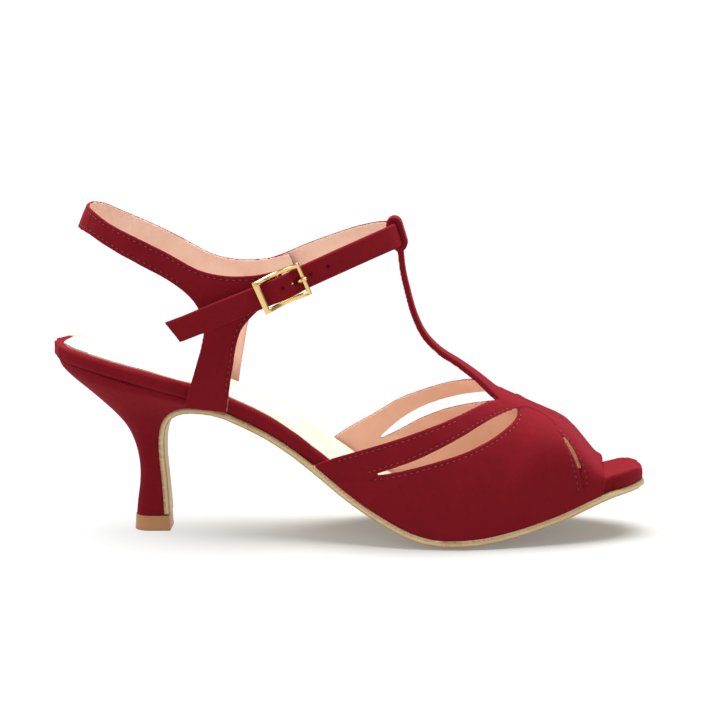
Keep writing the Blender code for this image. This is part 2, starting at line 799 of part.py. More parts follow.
def last_point(x, turn, inward):
    """A point of the last, from its outer edge (turn 0) over the ridge to the inner (turn 1)."""
    angle = math.pi * turn
    low = -sole_half(x, -1) + FLUSH
    high = sole_half(x, 1) - FLUSH
    middle = (low + high) / 2
    half = (high - low) / 2 - inward
    base = sole_top(x) + edge_lift(x, 1) + WALL_SEAT
    step = 2 * MM
    ridge = along(RIDGE, x / SOLE_LENGTH, "z") * INSTEP_RISE
    slope = (along(RIDGE, (x + step) / SOLE_LENGTH, "z") * INSTEP_RISE - ridge) / step
    rise = ridge - base - inward * math.hypot(1, slope)
    power = 2 / (RIDGE_ROUND + (TOE_ROUND - RIDGE_ROUND) * toe_share(x))
    across = abs(math.cos(angle)) ** power
    across *= 1 + SIDE_BULGE * math.sin(2 * angle) * (1 if turn < 0.5 else -1)
    side = -1 if turn < 0.5 else 1
    return Vector((x, middle + side * half * across, base + rise * abs(math.sin(angle)) ** power))


def edge_points(table, column, steps):
    """An edge of the upper as (x, z) points, on the outer or the inner side of the foot."""
    points = []
    for row in table:
        points.append(Vector((row.x * SOLE_LENGTH, getattr(row, column) * INSTEP_RISE, 0)))
    return [(p.x, p.y) for p in smooth_curve(points, steps)]


def upper_cutters():
    """Everything that is open in the upper: the collar, the long slits and the toe slits."""
    reach = BALL_WIDTH
    top, back, front = CUT_TOP * INSTEP_RISE, CUT_BACK * SOLE_LENGTH, CUT_FRONT * SOLE_LENGTH
    sides = (
        ("lateral", -reach, RIDGE_MIDDLE + CUT_OVERLAP),
        ("medial", RIDGE_MIDDLE - CUT_OVERLAP, reach),
    )
    cutters = []
    for column, low, high in sides:
        collar = edge_points(COLLAR_EDGE, column, 3)
        collar += [(collar[-1][0], top), (back, top), (back, collar[0][1])]
        cutters.append(prism("collar_cut_" + column, collar, low, high))
        slit = edge_points(SLIT_TOP, column, 3)[:-1] + edge_points(SLIT_BASE, column, 3)[:0:-1]
        cutters.append(prism("slit_cut_" + column, slit, low, high))
    middle_line = edge_points(TOE_SLIT, "lateral", 3)
    left, right = [], []
    for i, (x, z) in enumerate(middle_line):
        bow = math.sin(math.pi * (i + 0.6) / (len(middle_line) + 0.2))
        half = TOE_SLIT_WIDTH / 2 * bow**TOE_SLIT_TAPER
        left.append((x - half, z))
        right.append((x + half, z))
    cutters.append(prism("toe_slit_cut", left + right[::-1], -reach, reach))
    toe = edge_points(TOE_EDGE, "lateral", 3)
    toe += [(front, toe[-1][1]), (front, toe[0][1])]
    cutters.append(prism("toe_cut", toe, -reach, reach))
    return cutters


def t_strap():
    """The T strap, which widens into the saddle of the upper."""
    rise = LOOP_RISE - INSTEP_RISE
    knots = [Vector((row.x * SOLE_LENGTH, 0, INSTEP_RISE + row.z * rise)) for row in T_ROWS]
    halves = [Vector((row.half * T_WIDTH, 0, 0)) for row in T_ROWS]
    line = smooth_curve(knots, 3)
    halves = smooth_curve(halves, 3)
    shares = (-1, -0.5, 0, 0.5, 1)
    rings = []
    for i, point in enumerate(line):
        run = (line[min(i + 1, len(line) - 1)] - line[max(i - 1, 0)]).normalized()
        out = Vector((run.z, 0, -run.x))
        half = halves[i].x
        wide = max(0.0, half - 0.5 * T_WIDTH)
        outer, inner = [], []
        for share in shares:
            sag = 0.2 * wide * share * share
            spot = point + Vector((0, share * half, 0)) - out * sag
            outer.append(spot)
            inner.append(spot - out * T_THICK)
        rings.append(outer + inner[::-1])
    return loft("t_strap", rings, SUEDE)


def loop_frame():
    """The middle of the loop, its long direction, and the direction that it faces."""
    centre = Vector((LOOP_X * SOLE_LENGTH, 0, LOOP_RISE))
    tall = Vector((-math.sin(LOOP_LEAN), 0, math.cos(LOOP_LEAN)))
    face = Vector((math.cos(LOOP_LEAN), 0, math.sin(LOOP_LEAN)))
    return centre, tall, face


def strap_loop():
    """The fold at the top of the T strap, which the ankle strap runs through."""
    centre, tall, face = loop_frame()
    half_gap = STRAP_THICK / 2 + LOOP_SLACK
    straight = STRAP_WIDTH / 2 + LOOP_SLACK - half_gap * 0.85
    rings = []
    count = 10
    for end in (1, -1):
        for i in range(count):
            angle = math.pi * i / (count - 1)
            around = face * math.cos(angle) * end + tall * math.sin(angle) * end
            inner = centre + tall * straight * end + around * half_gap
            outer = inner + around * LOOP_WALL
            half = T_WIDTH * 0.49
            rings.append(
                [
                    inner + Vector((0, -half, 0)),
                    inner + Vector((0, half, 0)),
                    outer + Vector((0, half, 0)),
                    outer + Vector((0, -half, 0)),
                ]
            )
    return loft("strap_loop", rings, SUEDE, closed=True)


def upper():
    """The forefoot of the upper, one wall with its T strap."""
    start, end = UPPER_START * SOLE_LENGTH, UPPER_END * SOLE_LENGTH
    grids = []
    for inward in (0.0, WALL):
        grid = []
        for i in range(STATIONS):
            x = start + (end - start) * i / (STATIONS - 1)
            grid.append([last_point(x, j / ACROSS, inward) for j in range(ACROSS + 1)])
        grids.append(grid)
    body = shell("upper", grids[0], grids[1], SUEDE)
    for cutter in upper_cutters():
        combine(body, cutter, "DIFFERENCE")
    for piece in (t_strap(), strap_loop()):
        hide(piece)
        combine(body, piece, "UNION")
    return body


def sleeve_rows():
    """The places round the ankle: the sides as shares of the straight, the back as angles."""
    straight = [i / 7 for i in range(7)]
    angles = [math.pi / 2 * i / 8 for i in range(9)]
    return straight, angles


def sleeve_point(place, height, inward):
    """A point of the ankle's surface. The place is (share of the side, angle, side)."""
    share, angle, side = place
    half = along(SLEEVE, height, "half") * ANKLE_WIDTH - inward
    back = along(SLEEVE, height, "back") * SOLE_LENGTH + inward
    turn = SLEEVE_TURN * SOLE_LENGTH
    front = SLEEVE_FRONT * SOLE_LENGTH
    if angle is None:
        x = front + (turn - front) * share
        narrow = SLEEVE_PINCH * max(0.0, 1 - share / PINCH_END) ** 2
        return Vector((x, side * (half - narrow), height * LOOP_RISE))
    x = turn + (back - turn) * math.sin(angle) ** SLEEVE_ROUND[0]
    return Vector((x, side * half * math.cos(angle) ** SLEEVE_ROUND[1], height * LOOP_RISE))


def quarter():
    """The Y shaped sides and the strap round the back of the ankle, one wall."""
    straight, angles = sleeve_rows()
    places = [(share, None, -1) for share in straight]
    places += [(1, angle, -1) for angle in angles]
    places += [(1, angle, 1) for angle in reversed(angles[:-1])]
    places += [(share, None, 1) for share in reversed(straight)]
    low, high = SLEEVE[0].z, SLEEVE[-1].z
    heights = [low + (high - low) * i / 11 for i in range(12)]
    grids = []
    for inward in (0.0, WALL):
        grids.append([[sleeve_point(p, h, inward) for h in heights] for p in places])
    body = shell("quarter", grids[0], grids[1], SUEDE)
    outline = []
    for table in (QUARTER_TOP, QUARTER_LEG_FRONT, QUARTER_LEG_BACK):
        points = [Vector((row.x * SOLE_LENGTH, row.z * LOOP_RISE, 0)) for row in table]
        outline += [(p.x, p.y) for p in smooth_curve(points, 3)]
    combine(body, prism("quarter_outline", outline, -BALL_WIDTH, BALL_WIDTH), "INTERSECT")
    return body


def strap_line():
    """The middle line of the ankle strap, with the direction of its width and thickness."""
    knots, leans = [], []
    for row in STRAP_ROWS:
        knots.append(Vector((row.x * SOLE_LENGTH, row.y * ANKLE_WIDTH, row.z * LOOP_RISE)))
        leans.append(Vector((row.lean, 0, 0)))
    line = smooth_curve(knots, STRAP_STEPS)
    leans = smooth_curve(leans, STRAP_STEPS)
    frames = []
    for i, point in enumerate(line):
        run = (line[min(i + 1, len(line) - 1)] - line[max(i - 1, 0)]).normalized()
        out = run.cross(Vector((0, 0, 1))).normalized()
        wide = out.cross(run).normalized()
        turn = Matrix.Rotation(-math.radians(leans[i].x), 3, run)
        out, wide = turn @ out, turn @ wide
        frames.append((point, run, out, wide))
    return frames


def buckle_frame():
    """The middle of the buckle and the directions of its length, height and outside."""
    return strap_line()[BUCKLE_ROW * STRAP_STEPS]


def strap_bulge(offset, run):
    """How far the strap stands out at an offset from the middle bar, to clear bar and prong."""
    if offset.length > FRAME_LENGTH:
        return 0.0
    share = offset.dot(run) / FRAME_LENGTH
    return STRAP_RIDE * smooth_step(share, *BULGE_RISE) * (1 - smooth_step(share, *BULGE_FALL))


def ankle_strap():
    """The ankle strap, with its tail cut at a slant."""
    frames = strap_line()
    middle, ahead = buckle_frame()[:2]
    rings = []
    for i, (point, run, out, wide) in enumerate(frames):
        centre = point + out * strap_bulge(point - middle, ahead)
        ring = ribbon_ring(centre, wide, out, STRAP_WIDTH / 2, STRAP_THICK / 2)
        if i == 0:
            ring = [spot - run * (spot - centre).dot(wide) * TAIL_SLANT for spot in ring]
        rings.append(ring)
    body = loft("ankle_strap", rings, SUEDE)
    hole = prong_hole()
    combine(body, hole, "DIFFERENCE")
    return body


def prong_hole():
    """The hole that the prong passes through."""
    middle, run, out, wide = buckle_frame()
    sides = 10
    rings = []
    for depth in (-1.5 * STRAP_THICK, 3 * STRAP_THICK):
        place = middle + run * HOLE_PLACE * FRAME_LENGTH + out * depth
        ring = []
        for i in range(sides):
            angle = 2 * math.pi * i / sides
            ahead = run * HOLE_HALF * FRAME_LENGTH * math.cos(angle)
            ring.append(place + ahead + wide * (PRONG_BAR / 2 + GAP) * math.sin(angle))
        rings.append(ring)
    hole = loft("prong_hole", rings, SUEDE)
    hide(hole)
    return hole


def bar_offset(share):
    """How far out the rails lie at a share of the half length: over the strap at the ends."""
    at_end = STRAP_THICK / 2 + GAP + BAR / 2
    at_middle = STRAP_RIDE - STRAP_THICK / 2 - GAP - BAR / 2
    return at_middle + (at_end - at_middle) * min(1.0, abs(share) / RAIL_LEVEL) ** 2


def bar_ring(centre, one, two, thick):
    """A round bar's section, with eight sides."""
    ring = []
    for i in range(8):
        angle = 2 * math.pi * (i + 0.5) / 8
        ring.append(centre + (one * math.cos(angle) + two * math.sin(angle)) * thick / 2)
    return ring


def flat_ring(outer, inner, deep):
    """A flat bar's section with its edges taken off, from an outer to an inner point."""
    section = (
        (1, -0.5), (1, 0.5), (0.6, 1), (-0.6, 1),
        (-1, 0.5), (-1, -0.5), (-0.6, -1), (0.6, -1),
    )
    centre, reach = (outer + inner) / 2, (inner - outer) / 2
    return [centre + reach * a + deep * b for a, b in section]


def buckle():
    """The gold frame and its middle bar, bent so that the strap passes over and under."""
    middle, run, out, wide = buckle_frame()
    half_length, half_height = FRAME_LENGTH / 2, FRAME_HEIGHT / 2
    corners = ((1, 1), (-1, 1), (-1, -1), (1, -1))

    def at(x, y):
        centre_share = x / (half_length - BAR / 2)
        return middle + run * x + wide * y + out * bar_offset(centre_share)

    rings = []
    for k, (a, b) in enumerate(corners):
        after = corners[(k + 1) % 4]
        steps = 8 if a != after[0] else 2
        for i in range(steps):
            t = i / steps
            x, y = a + (after[0] - a) * t, b + (after[1] - b) * t
            ends = (half_length - BAR) if x > 0 else (half_length - END_BAR)
            outer = at(x * half_length, y * half_height)
            inner = at(x * ends, y * (half_height - BAR))
            rings.append(flat_ring(outer, inner, out * BAR / 2))
    body = loft("buckle", rings, GOLD, closed=True)
    ends = []
    for side in (-1, 1):
        centre = middle + wide * side * (half_height - BAR / 2) + out * bar_offset(0)
        ends.append(bar_ring(centre, run, out, BAR * MIDDLE_BAR))
    cross = loft("buckle_bar", ends, GOLD)
    hide(cross)
    combine(body, cross, "UNION")
    return body


def prong():
    """The prong, from the middle bar through the strap and out over the front bar."""
    middle, run, out, wide = buckle_frame()
    over = bar_offset(1) + BAR / 2 + GAP + PRONG_BAR / 2
    under = bar_offset(0)
    ahead = BAR / 2 + GAP + PRONG_BAR / 2
    heights = (under, (under + over) / 2, over - GAP, over, over)
    places = [share * FRAME_LENGTH for share in PRONG_RUN]
    spots = [(ahead, under), *zip(places, heights)]
    line = smooth_curve([middle + run * a + out * b for a, b in spots], 3)
    rings = []
    for i, point in enumerate(line):
        way = (line[min(i + 1, len(line) - 1)] - line[max(i - 1, 0)]).normalized()
        rings.append(bar_ring(point, wide, wide.cross(way), PRONG_BAR))
    return loft("prong", rings, GOLD)


def build():
    for thing in list(bpy.data.objects):
        bpy.data.objects.remove(thing)
    outsole()
    heel()
    top_piece()
    footbed()
    sock_lining()
    upper()
    quarter()
    ankle_strap()
    buckle()
    prong()


build()
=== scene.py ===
"""The finish of the t strap sandal: suede, lining, leather, thread and gilt metal."""
import json
import math
from collections import namedtuple

import bmesh
import bpy
import numpy as np
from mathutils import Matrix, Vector
from mathutils.bvhtree import BVHTree
from mathutils.kdtree import KDTree

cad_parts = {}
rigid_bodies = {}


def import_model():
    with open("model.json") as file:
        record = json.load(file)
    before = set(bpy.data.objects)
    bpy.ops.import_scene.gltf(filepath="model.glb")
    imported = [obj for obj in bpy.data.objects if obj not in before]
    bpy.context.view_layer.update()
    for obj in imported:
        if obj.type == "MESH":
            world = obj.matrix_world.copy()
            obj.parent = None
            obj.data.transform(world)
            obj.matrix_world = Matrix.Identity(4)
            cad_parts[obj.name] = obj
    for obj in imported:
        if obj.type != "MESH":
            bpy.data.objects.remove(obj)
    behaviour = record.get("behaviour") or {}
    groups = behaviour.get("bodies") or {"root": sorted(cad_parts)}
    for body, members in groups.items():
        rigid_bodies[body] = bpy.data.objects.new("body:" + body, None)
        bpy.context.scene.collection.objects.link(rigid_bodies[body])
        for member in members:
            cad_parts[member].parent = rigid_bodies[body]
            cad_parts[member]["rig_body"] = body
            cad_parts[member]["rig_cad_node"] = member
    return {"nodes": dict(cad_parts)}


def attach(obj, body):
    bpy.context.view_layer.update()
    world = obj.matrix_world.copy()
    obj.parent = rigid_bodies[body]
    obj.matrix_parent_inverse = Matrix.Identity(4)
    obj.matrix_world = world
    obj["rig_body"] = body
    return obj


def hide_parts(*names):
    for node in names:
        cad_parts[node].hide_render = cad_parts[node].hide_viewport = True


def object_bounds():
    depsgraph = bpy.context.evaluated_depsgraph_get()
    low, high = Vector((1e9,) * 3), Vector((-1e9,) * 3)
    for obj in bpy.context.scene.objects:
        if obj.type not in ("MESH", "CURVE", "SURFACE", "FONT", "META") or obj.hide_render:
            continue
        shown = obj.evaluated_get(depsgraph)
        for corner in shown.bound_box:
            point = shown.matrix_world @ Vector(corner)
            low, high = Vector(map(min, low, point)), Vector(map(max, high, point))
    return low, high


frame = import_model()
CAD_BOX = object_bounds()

bl_info = {
    "name": "T strap sandal finish",
    "version": (1, 0, 0),
    "blender": (4, 5, 0),
    "location": "3D View > Sidebar > Sandal",
    "description": "Dresses the solids of a heeled t strap sandal in suede, leather and gilt metal",
    "category": "Mesh",
}

MM = 0.001
BODY = "root"
WELD = 0.00001

# Edges turned by more than these are folded edges of the outer face, and edges to be kept.
FOLD = math.radians(50)
SHARP = math.radians(40)
# The most faces that a softened piece has, counted as quads.
MOST_FACES = 91200
# A painted distance counts up to this one.
FAR = 5 * MM

# Stitch rows: the step between their points, the shortest line and row, the span over which they
# are evened out, and the widest break in a folded edge that a row runs on across.
STEP = 0.4 * MM
LEAST_LINE = 5 * MM
LEAST_ROW = 4 * MM
ROW_SPAN = 2 * MM
BREAK = 12 * MM
ROW_DEPTH = 0.13 * MM
ROW_WIDTH = 0.55 * MM

# How far a piece is pressed into the face that it lies on, and how squarely they have to face.
PRESS = 0.06 * MM
SQUARE = 0.3

# The line that a foot's middle would follow, from the toes up to the ankle. Outside is away
# from it.
FOOT_LINE = (
    (80 * MM, 10 * MM),
    (30 * MM, 22 * MM),
    (-20 * MM, 35 * MM),
    (-55 * MM, 55 * MM),
    (-68 * MM, 80 * MM),
    (-68 * MM, 125 * MM),
)
# How far a face looks outwards: on the outer face more than this, on the lining less than this.
OUTSIDE = 0.5
LINING_TURN = -0.3
# A face that looks up more than this is a top edge.
UPTURNED = 0.55

# The saddle's edge over the front panel, in plan: along the foot, and out from its middle.
# It runs from the front end of the long slit to the top of the toe slit, alike on both sides.
SEAM_POINTS = (
    (26.0 * MM, 14.6 * MM),
    (28.0 * MM, 9.8 * MM),
    (30.4 * MM, 6.6 * MM),
    (32.8 * MM, 5.5 * MM),
    (35.2 * MM, 5.3 * MM),
    (37.6 * MM, 6.2 * MM),
    (39.7 * MM, 8.8 * MM),
    (41.2 * MM, 13.0 * MM),
)
# The edge rises within the first distance and has faded away between the next two.
SEAM_RISE = 0.5 * MM
SEAM_FADE = (1.5 * MM, 7 * MM)
SEAM_DIP = 0.25
SEAM_DIP_WIDTH = 1.2 * MM
SEAM_LOW = 40 * MM

# Holes punched in the near side of the ankle strap, by their place along the foot.
HOLE_PLACES = (-63.4 * MM, -53.0 * MM, -46.4 * MM)
HOLE_DEPTH = 0.9 * MM
# The hole that the prong comes through, and the leather behind it: width, thickness, depth.
PRONG_PLACE = -57.9 * MM
BACKING = (2.8 * MM, 1.1 * MM, 0.6 * MM)
# The strap's near side is looked for from this place, this far in, at these heights.
STRAP_SIDE = -60 * MM
STRAP_SEARCH = 45 * MM
STRAP_HEIGHTS = np.arange(80, 125, 0.25) * MM

# Soft troughs and ridges in the suede: the middle seen from the side, the side of the
# foot (-1 is the outer one), the way that the fold runs, half its length, its width and depth.
Crease = namedtuple("Crease", "x z side slope half width depth")
CREASES = (
    Crease(-40 * MM, 25 * MM, -1, 6, 10 * MM, 0.8 * MM, 0.45 * MM),
    Crease(-27 * MM, 20 * MM, -1, 40, 9 * MM, 2.4 * MM, -0.22 * MM),
    Crease(-8 * MM, 10 * MM, -1, 12, 16 * MM, 3.0 * MM, 0.28 * MM),
    Crease(14 * MM, 9 * MM, -1, -6, 15 * MM, 3.2 * MM, 0.22 * MM),
    Crease(22 * MM, 30 * MM, -1, 62, 12 * MM, 4.5 * MM, 0.35 * MM),
    Crease(33 * MM, 34 * MM, -1, 74, 9 * MM, 3.5 * MM, -0.22 * MM),
    Crease(50 * MM, 28 * MM, -1, 80, 8 * MM, 3.0 * MM, 0.20 * MM),
    Crease(-39 * MM, 26 * MM, 1, 8, 10 * MM, 0.8 * MM, 0.40 * MM),
    Crease(-6 * MM, 11 * MM, 1, 10, 16 * MM, 3.0 * MM, 0.26 * MM),
    Crease(20 * MM, 31 * MM, 1, 60, 12 * MM, 4.5 * MM, 0.32 * MM),
    Crease(34 * MM, 33 * MM, 1, 72, 9 * MM, 3.5 * MM, -0.20 * MM),
    Crease(-93 * MM, 82 * MM, -1, 70, 10 * MM, 2.4 * MM, 0.25 * MM),
    Crease(-84 * MM, 78 * MM, -1, 84, 9 * MM, 2.0 * MM, -0.18 * MM),
    Crease(-120 * MM, 112 * MM, -1, 55, 5 * MM, 2.6 * MM, 0.20 * MM),
    Crease(-92 * MM, 80 * MM, 1, 72, 10 * MM, 2.4 * MM, 0.25 * MM),
    Crease(-118 * MM, 111 * MM, 1, 60, 5 * MM, 2.6 * MM, 0.20 * MM),
)

# Where the T strap grows out of the saddle: no folded edge is kept sharp within reach of it.
SADDLE = Vector((23 * MM, 0, 53 * MM))
SADDLE_REACH = 9 * MM
# The T strap begins at this height. The saddle is this wide to each side, and ends this far
# forward. Neither has stitches.
T_STRAP_FOOT = 57 * MM
SADDLE_HALF = 13.5 * MM
SADDLE_FRONT = 36 * MM
# The loop above this height has no lining.
LOOP_FOOT = 110 * MM
# The upper edge of the toe opening, which is turned under softly.
TOE_EDGE = Vector((56 * MM, 0, 31 * MM))
TOE_END = Vector((84 * MM, 0, 22 * MM))
# The legs of the quarter aren't stitched along their foot.
LEG_FOOT = 58 * MM
# The lining hangs down behind the lower end of each toe slit.
SLIT_BACKS = ((50 * MM, -18.5 * MM, 22 * MM), (50 * MM, 21 * MM, 22 * MM))
BACK_REACH = 5 * MM
# The suede rim left beside the sock at the heel, and what is added to it behind the sock. Each
# sets in over a span along the foot.
SOCK_RIM = 1.6 * MM
RIM_SPAN = (55 * MM, 75 * MM)
SOCK_BACK = 2.0 * MM
BACK_SPAN = (104 * MM, 120 * MM)
# The rim's shoulder is where the footbed's faces stop looking up.
SHOULDER = 0.6
SHOULDER_STEP = 0.5 * MM
SOCK_DROP = 0.8 * MM
SOCK_EDGE = 0.15 * MM

# The photograph's view: the camera's target, its angle round and above the shoe, and its distance.
VIEW_TARGET = Vector((-36.7 * MM, 0, 69 * MM))
VIEW_AZIMUTH = math.radians(3)
VIEW_ELEVATION = math.radians(9)
VIEW_DISTANCE = 1.3
VIEW_LENS = 167

Edge = namedtuple("Edge", "start end inward")


def linear(code):
    """A linear colour with alpha from an sRGB hex code."""
    channels = [int(code[i:i + 2], 16) / 255 for i in (1, 3, 5)]
    return [c / 12.92 if c <= 0.04045 else ((c + 0.055) / 1.055) ** 2.4 for c in channels] + [1.0]


def add(tree, kind, inputs=None, **settings):
    """A shader node with its settings, and its inputs set or linked."""
    made = tree.nodes.new("ShaderNode" + kind)
    for key, value in settings.items():
        setattr(made, key, value)
    for key, value in (inputs or {}).items():
        if isinstance(value, bpy.types.NodeSocket):
            tree.links.new(value, made.inputs[key])
        else:
            made.inputs[key].default_value = value
    return made


class SandalSizes(bpy.types.PropertyGroup):
    """Sizes of the finish."""
    facet: bpy.props.FloatProperty(
        name="Suede facet", description="Mesh size of the suede panels", default=0.42 * MM,
        unit="LENGTH")
    stitch_pitch: bpy.props.FloatProperty(
        name="Stitch pitch", description="From one stitch to the next", default=2.4 * MM,
        unit="LENGTH")
    stitch_inset: bpy.props.FloatProperty(
        name="Stitch inset", description="From a folded edge to its row of stitches",
        default=1.5 * MM, unit="LENGTH")
    stitch_length: bpy.props.FloatProperty(
        name="Stitch length", description="Length of thread that shows", default=1.25 * MM,
        unit="LENGTH")
    thread: bpy.props.FloatProperty(
        name="Thread", description="Thickness of the thread", default=0.28 * MM, unit="LENGTH")
    overlay: bpy.props.FloatProperty(
        name="Overlay", description="How far the saddle stands above the panel",
        default=0.3 * MM, unit="LENGTH")
    hole: bpy.props.FloatProperty(
        name="Strap hole", description="Diameter of a punched hole", default=1.2 * MM,
        unit="LENGTH")


class SandalColours(bpy.types.PropertyGroup):
    """Colours of the finish."""
    suede: bpy.props.FloatVectorProperty(
        name="Suede", description="The dyed nap", subtype="COLOR", size=4, min=0, max=1,
        default=linear("#80101c"))
    suede_shade: bpy.props.FloatVectorProperty(
        name="Suede shade", description="The nap where it lies away from the light",
        subtype="COLOR", size=4, min=0, max=1, default=linear("#6e0d18"))
    lining: bpy.props.FloatVectorProperty(
        name="Lining", description="The nude lining leather", subtype="COLOR", size=4, min=0,
        max=1, default=linear("#e8bba4"))
    sock: bpy.props.FloatVectorProperty(
        name="Sock", description="The cream sock leather", subtype="COLOR", size=4, min=0, max=1,
        default=linear("#f6ead6"))
    sole: bpy.props.FloatVectorProperty(
        name="Sole", description="The natural sole leather", subtype="COLOR", size=4, min=0,
        max=1, default=linear("#dcc296"))
    top_piece: bpy.props.FloatVectorProperty(
        name="Top piece", description="The hard wearing tip of the heel", subtype="COLOR", size=4,
        min=0, max=1, default=linear("#b88050"))
    thread: bpy.props.FloatVectorProperty(
        name="Thread", description="The sewing thread", subtype="COLOR", size=4, min=0, max=1,
        default=linear("#801d29"))
    gilt: bpy.props.FloatVectorProperty(
        name="Gilt", description="The buckle's gold plate", subtype="COLOR", size=4, min=0, max=1,
        default=linear("#e8c885"))


def new_material(name):
    """An empty material, its tree, its shader and its object coordinates."""
    made = bpy.data.materials.new(name)
    made.use_nodes = True
    tree = made.node_tree
    tree.nodes.clear()
    place = add(tree, "TexCoord").outputs["Object"]
    shader = add(tree, "BsdfPrincipled")
    add(tree, "OutputMaterial", {"Surface": shader.outputs["BSDF"]})
    return made, tree, shader, place


def suede_material(colours):
    """Kid suede, buffed and dyed: a short nap that scatters light and shows brushed patches."""
    made, tree, shader, place = new_material("kid_suede_buffed_red")
    # Brushed patches are 15 mm across. The nap is 0.1 mm, drawn at 0.5 mm so that it shows.
    patch = add(tree, "TexNoise", {"Vector": place, "Scale": 65.0, "Detail": 3.0})
    tuft = add(tree, "TexNoise", {"Vector": place, "Scale": 420.0, "Detail": 4.0})
    nap = add(tree, "TexNoise", {"Vector": place, "Scale": 2000.0, "Detail": 2.0})
    broad = add(tree, "Math", {0: patch.outputs["Fac"], 1: tuft.outputs["Fac"]})
    total = add(tree, "Math", {0: broad.outputs[0], 1: nap.outputs["Fac"]})
    span = add(tree, "MapRange", {"Value": total.outputs[0], "From Min": 0.9, "From Max": 2.1})
    nap_colour = add(tree, "Mix", {0: span.outputs["Result"], 6: colours.suede_shade,
                                   7: colours.suede}, data_type="RGBA")
    # Painted shade: the colour darkens towards #4a0812 within 0.8 mm of a stitch row, the saddle's
    # seam and a strap hole, for the shade in their grooves and hollows.
    row = add(tree, "Attribute", attribute_name="row")
    groove_shade = add(tree, "MapRange", {"Value": row.outputs["Fac"], "From Min": 0.0,
                                     "From Max": 0.8 * MM, "To Min": 0.45, "To Max": 0.0})
    colour = add(tree, "Mix", {0: groove_shade.outputs["Result"], 6: nap_colour.outputs[2],
                               7: linear("#4a0812")}, data_type="RGBA")
    fine = add(tree, "Bump", {"Strength": 0.55, "Distance": 0.12 * MM,
                              "Height": nap.outputs["Fac"]})
    coarse = add(tree, "Bump", {"Strength": 0.5, "Distance": 0.35 * MM,
                                "Height": tuft.outputs["Fac"], "Normal": fine.outputs["Normal"]})
    tree.links.new(colour.outputs[2], shader.inputs["Base Color"])
    tree.links.new(coarse.outputs["Normal"], shader.inputs["Normal"])
    shader.inputs["Roughness"].default_value = 0.95
    shader.inputs["Specular IOR Level"].default_value = 0.15
    shader.inputs["Sheen Weight"].default_value = 0.18
    shader.inputs["Sheen Roughness"].default_value = 0.45
    shader.inputs["Sheen Tint"].default_value = linear("#ff4060")
    return made


def lining_material(colours):
    """Nude pigskin lining: smooth grain leather with small pores and a soft shine."""
    made, tree, shader, place = new_material("nude_pigskin_lining")
    # Pores stand about 1 mm apart.
    pores = add(tree, "TexVoronoi", {"Vector": place, "Scale": 900.0}, feature="F1")
    cloud = add(tree, "TexNoise", {"Vector": place, "Scale": 90.0, "Detail": 4.0})
    tone = add(tree, "MapRange", {"Value": cloud.outputs["Fac"], "From Min": 0.35,
                                  "From Max": 0.7})
    colour = add(tree, "Mix", {0: tone.outputs["Result"], 6: colours.lining,
                               7: linear("#f0c9b4")}, data_type="RGBA")
    bump = add(tree, "Bump", {"Strength": 0.25, "Distance": 0.1 * MM,
                              "Height": pores.outputs["Distance"]})
    tree.links.new(colour.outputs[2], shader.inputs["Base Color"])
    tree.links.new(bump.outputs["Normal"], shader.inputs["Normal"])
    shader.inputs["Roughness"].default_value = 0.55
    return made


def sock_material(colours):
    """Cream sheepskin sock: smooth aniline leather, slightly creased by the last."""
    made, tree, shader, place = new_material("cream_sheepskin_sock")
    grain = add(tree, "TexVoronoi", {"Vector": place, "Scale": 1100.0}, feature="F1")
    cloud = add(tree, "TexNoise", {"Vector": place, "Scale": 70.0, "Detail": 5.0})
    tone = add(tree, "MapRange", {"Value": cloud.outputs["Fac"], "From Min": 0.3,
                                  "From Max": 0.75})
    colour = add(tree, "Mix", {0: tone.outputs["Result"], 6: colours.sock,
                               7: linear("#ead9bf")}, data_type="RGBA")
    bump = add(tree, "Bump", {"Strength": 0.2, "Distance": 0.08 * MM,
                              "Height": grain.outputs["Distance"]})
    tree.links.new(colour.outputs[2], shader.inputs["Base Color"])
    tree.links.new(bump.outputs["Normal"], shader.inputs["Normal"])
    shader.inputs["Roughness"].default_value = 0.5
    return made


def sole_material(colours):
    """Vegetable tanned sole leather: waxed edge with compressed fibre lines, darker within a
    millimetre of its sharp edges.
    """
    made, tree, shader, place = new_material("veg_tanned_sole_leather")
    stretched = add(tree, "Mapping", {"Vector": place, "Scale": (60.0, 60.0, 2200.0)})
    fibre = add(tree, "TexNoise", {"Vector": stretched.outputs["Vector"], "Scale": 1.0,
                                   "Detail": 4.0})
    cloud = add(tree, "TexNoise", {"Vector": place, "Scale": 60.0, "Detail": 5.0})
    both = add(tree, "Math", {0: fibre.outputs["Fac"], 1: cloud.outputs["Fac"]})
    tone = add(tree, "MapRange", {"Value": both.outputs[0], "From Min": 0.7, "From Max": 1.35})
    colour = add(tree, "Mix", {0: tone.outputs["Result"], 6: colours.sole,
                               7: linear("#c2a070")}, data_type="RGBA")
    # Darker towards the sole's sharp edges, within 0.8 mm of them.
    rim = add(tree, "Attribute", attribute_name="rim")
    seam = add(tree, "MapRange", {"Value": rim.outputs["Fac"], "From Min": 0.2 * MM,
                                  "From Max": 0.8 * MM, "To Min": 0.75, "To Max": 0.0})
    edge = add(tree, "Mix", {0: seam.outputs["Result"], 6: colour.outputs[2],
                             7: linear("#8f7048")}, data_type="RGBA")
    bump = add(tree, "Bump", {"Strength": 0.3, "Distance": 0.12 * MM,
                              "Height": fibre.outputs["Fac"]})
    tree.links.new(edge.outputs[2], shader.inputs["Base Color"])
    tree.links.new(bump.outputs["Normal"], shader.inputs["Normal"])
    shader.inputs["Roughness"].default_value = 0.5
    return made


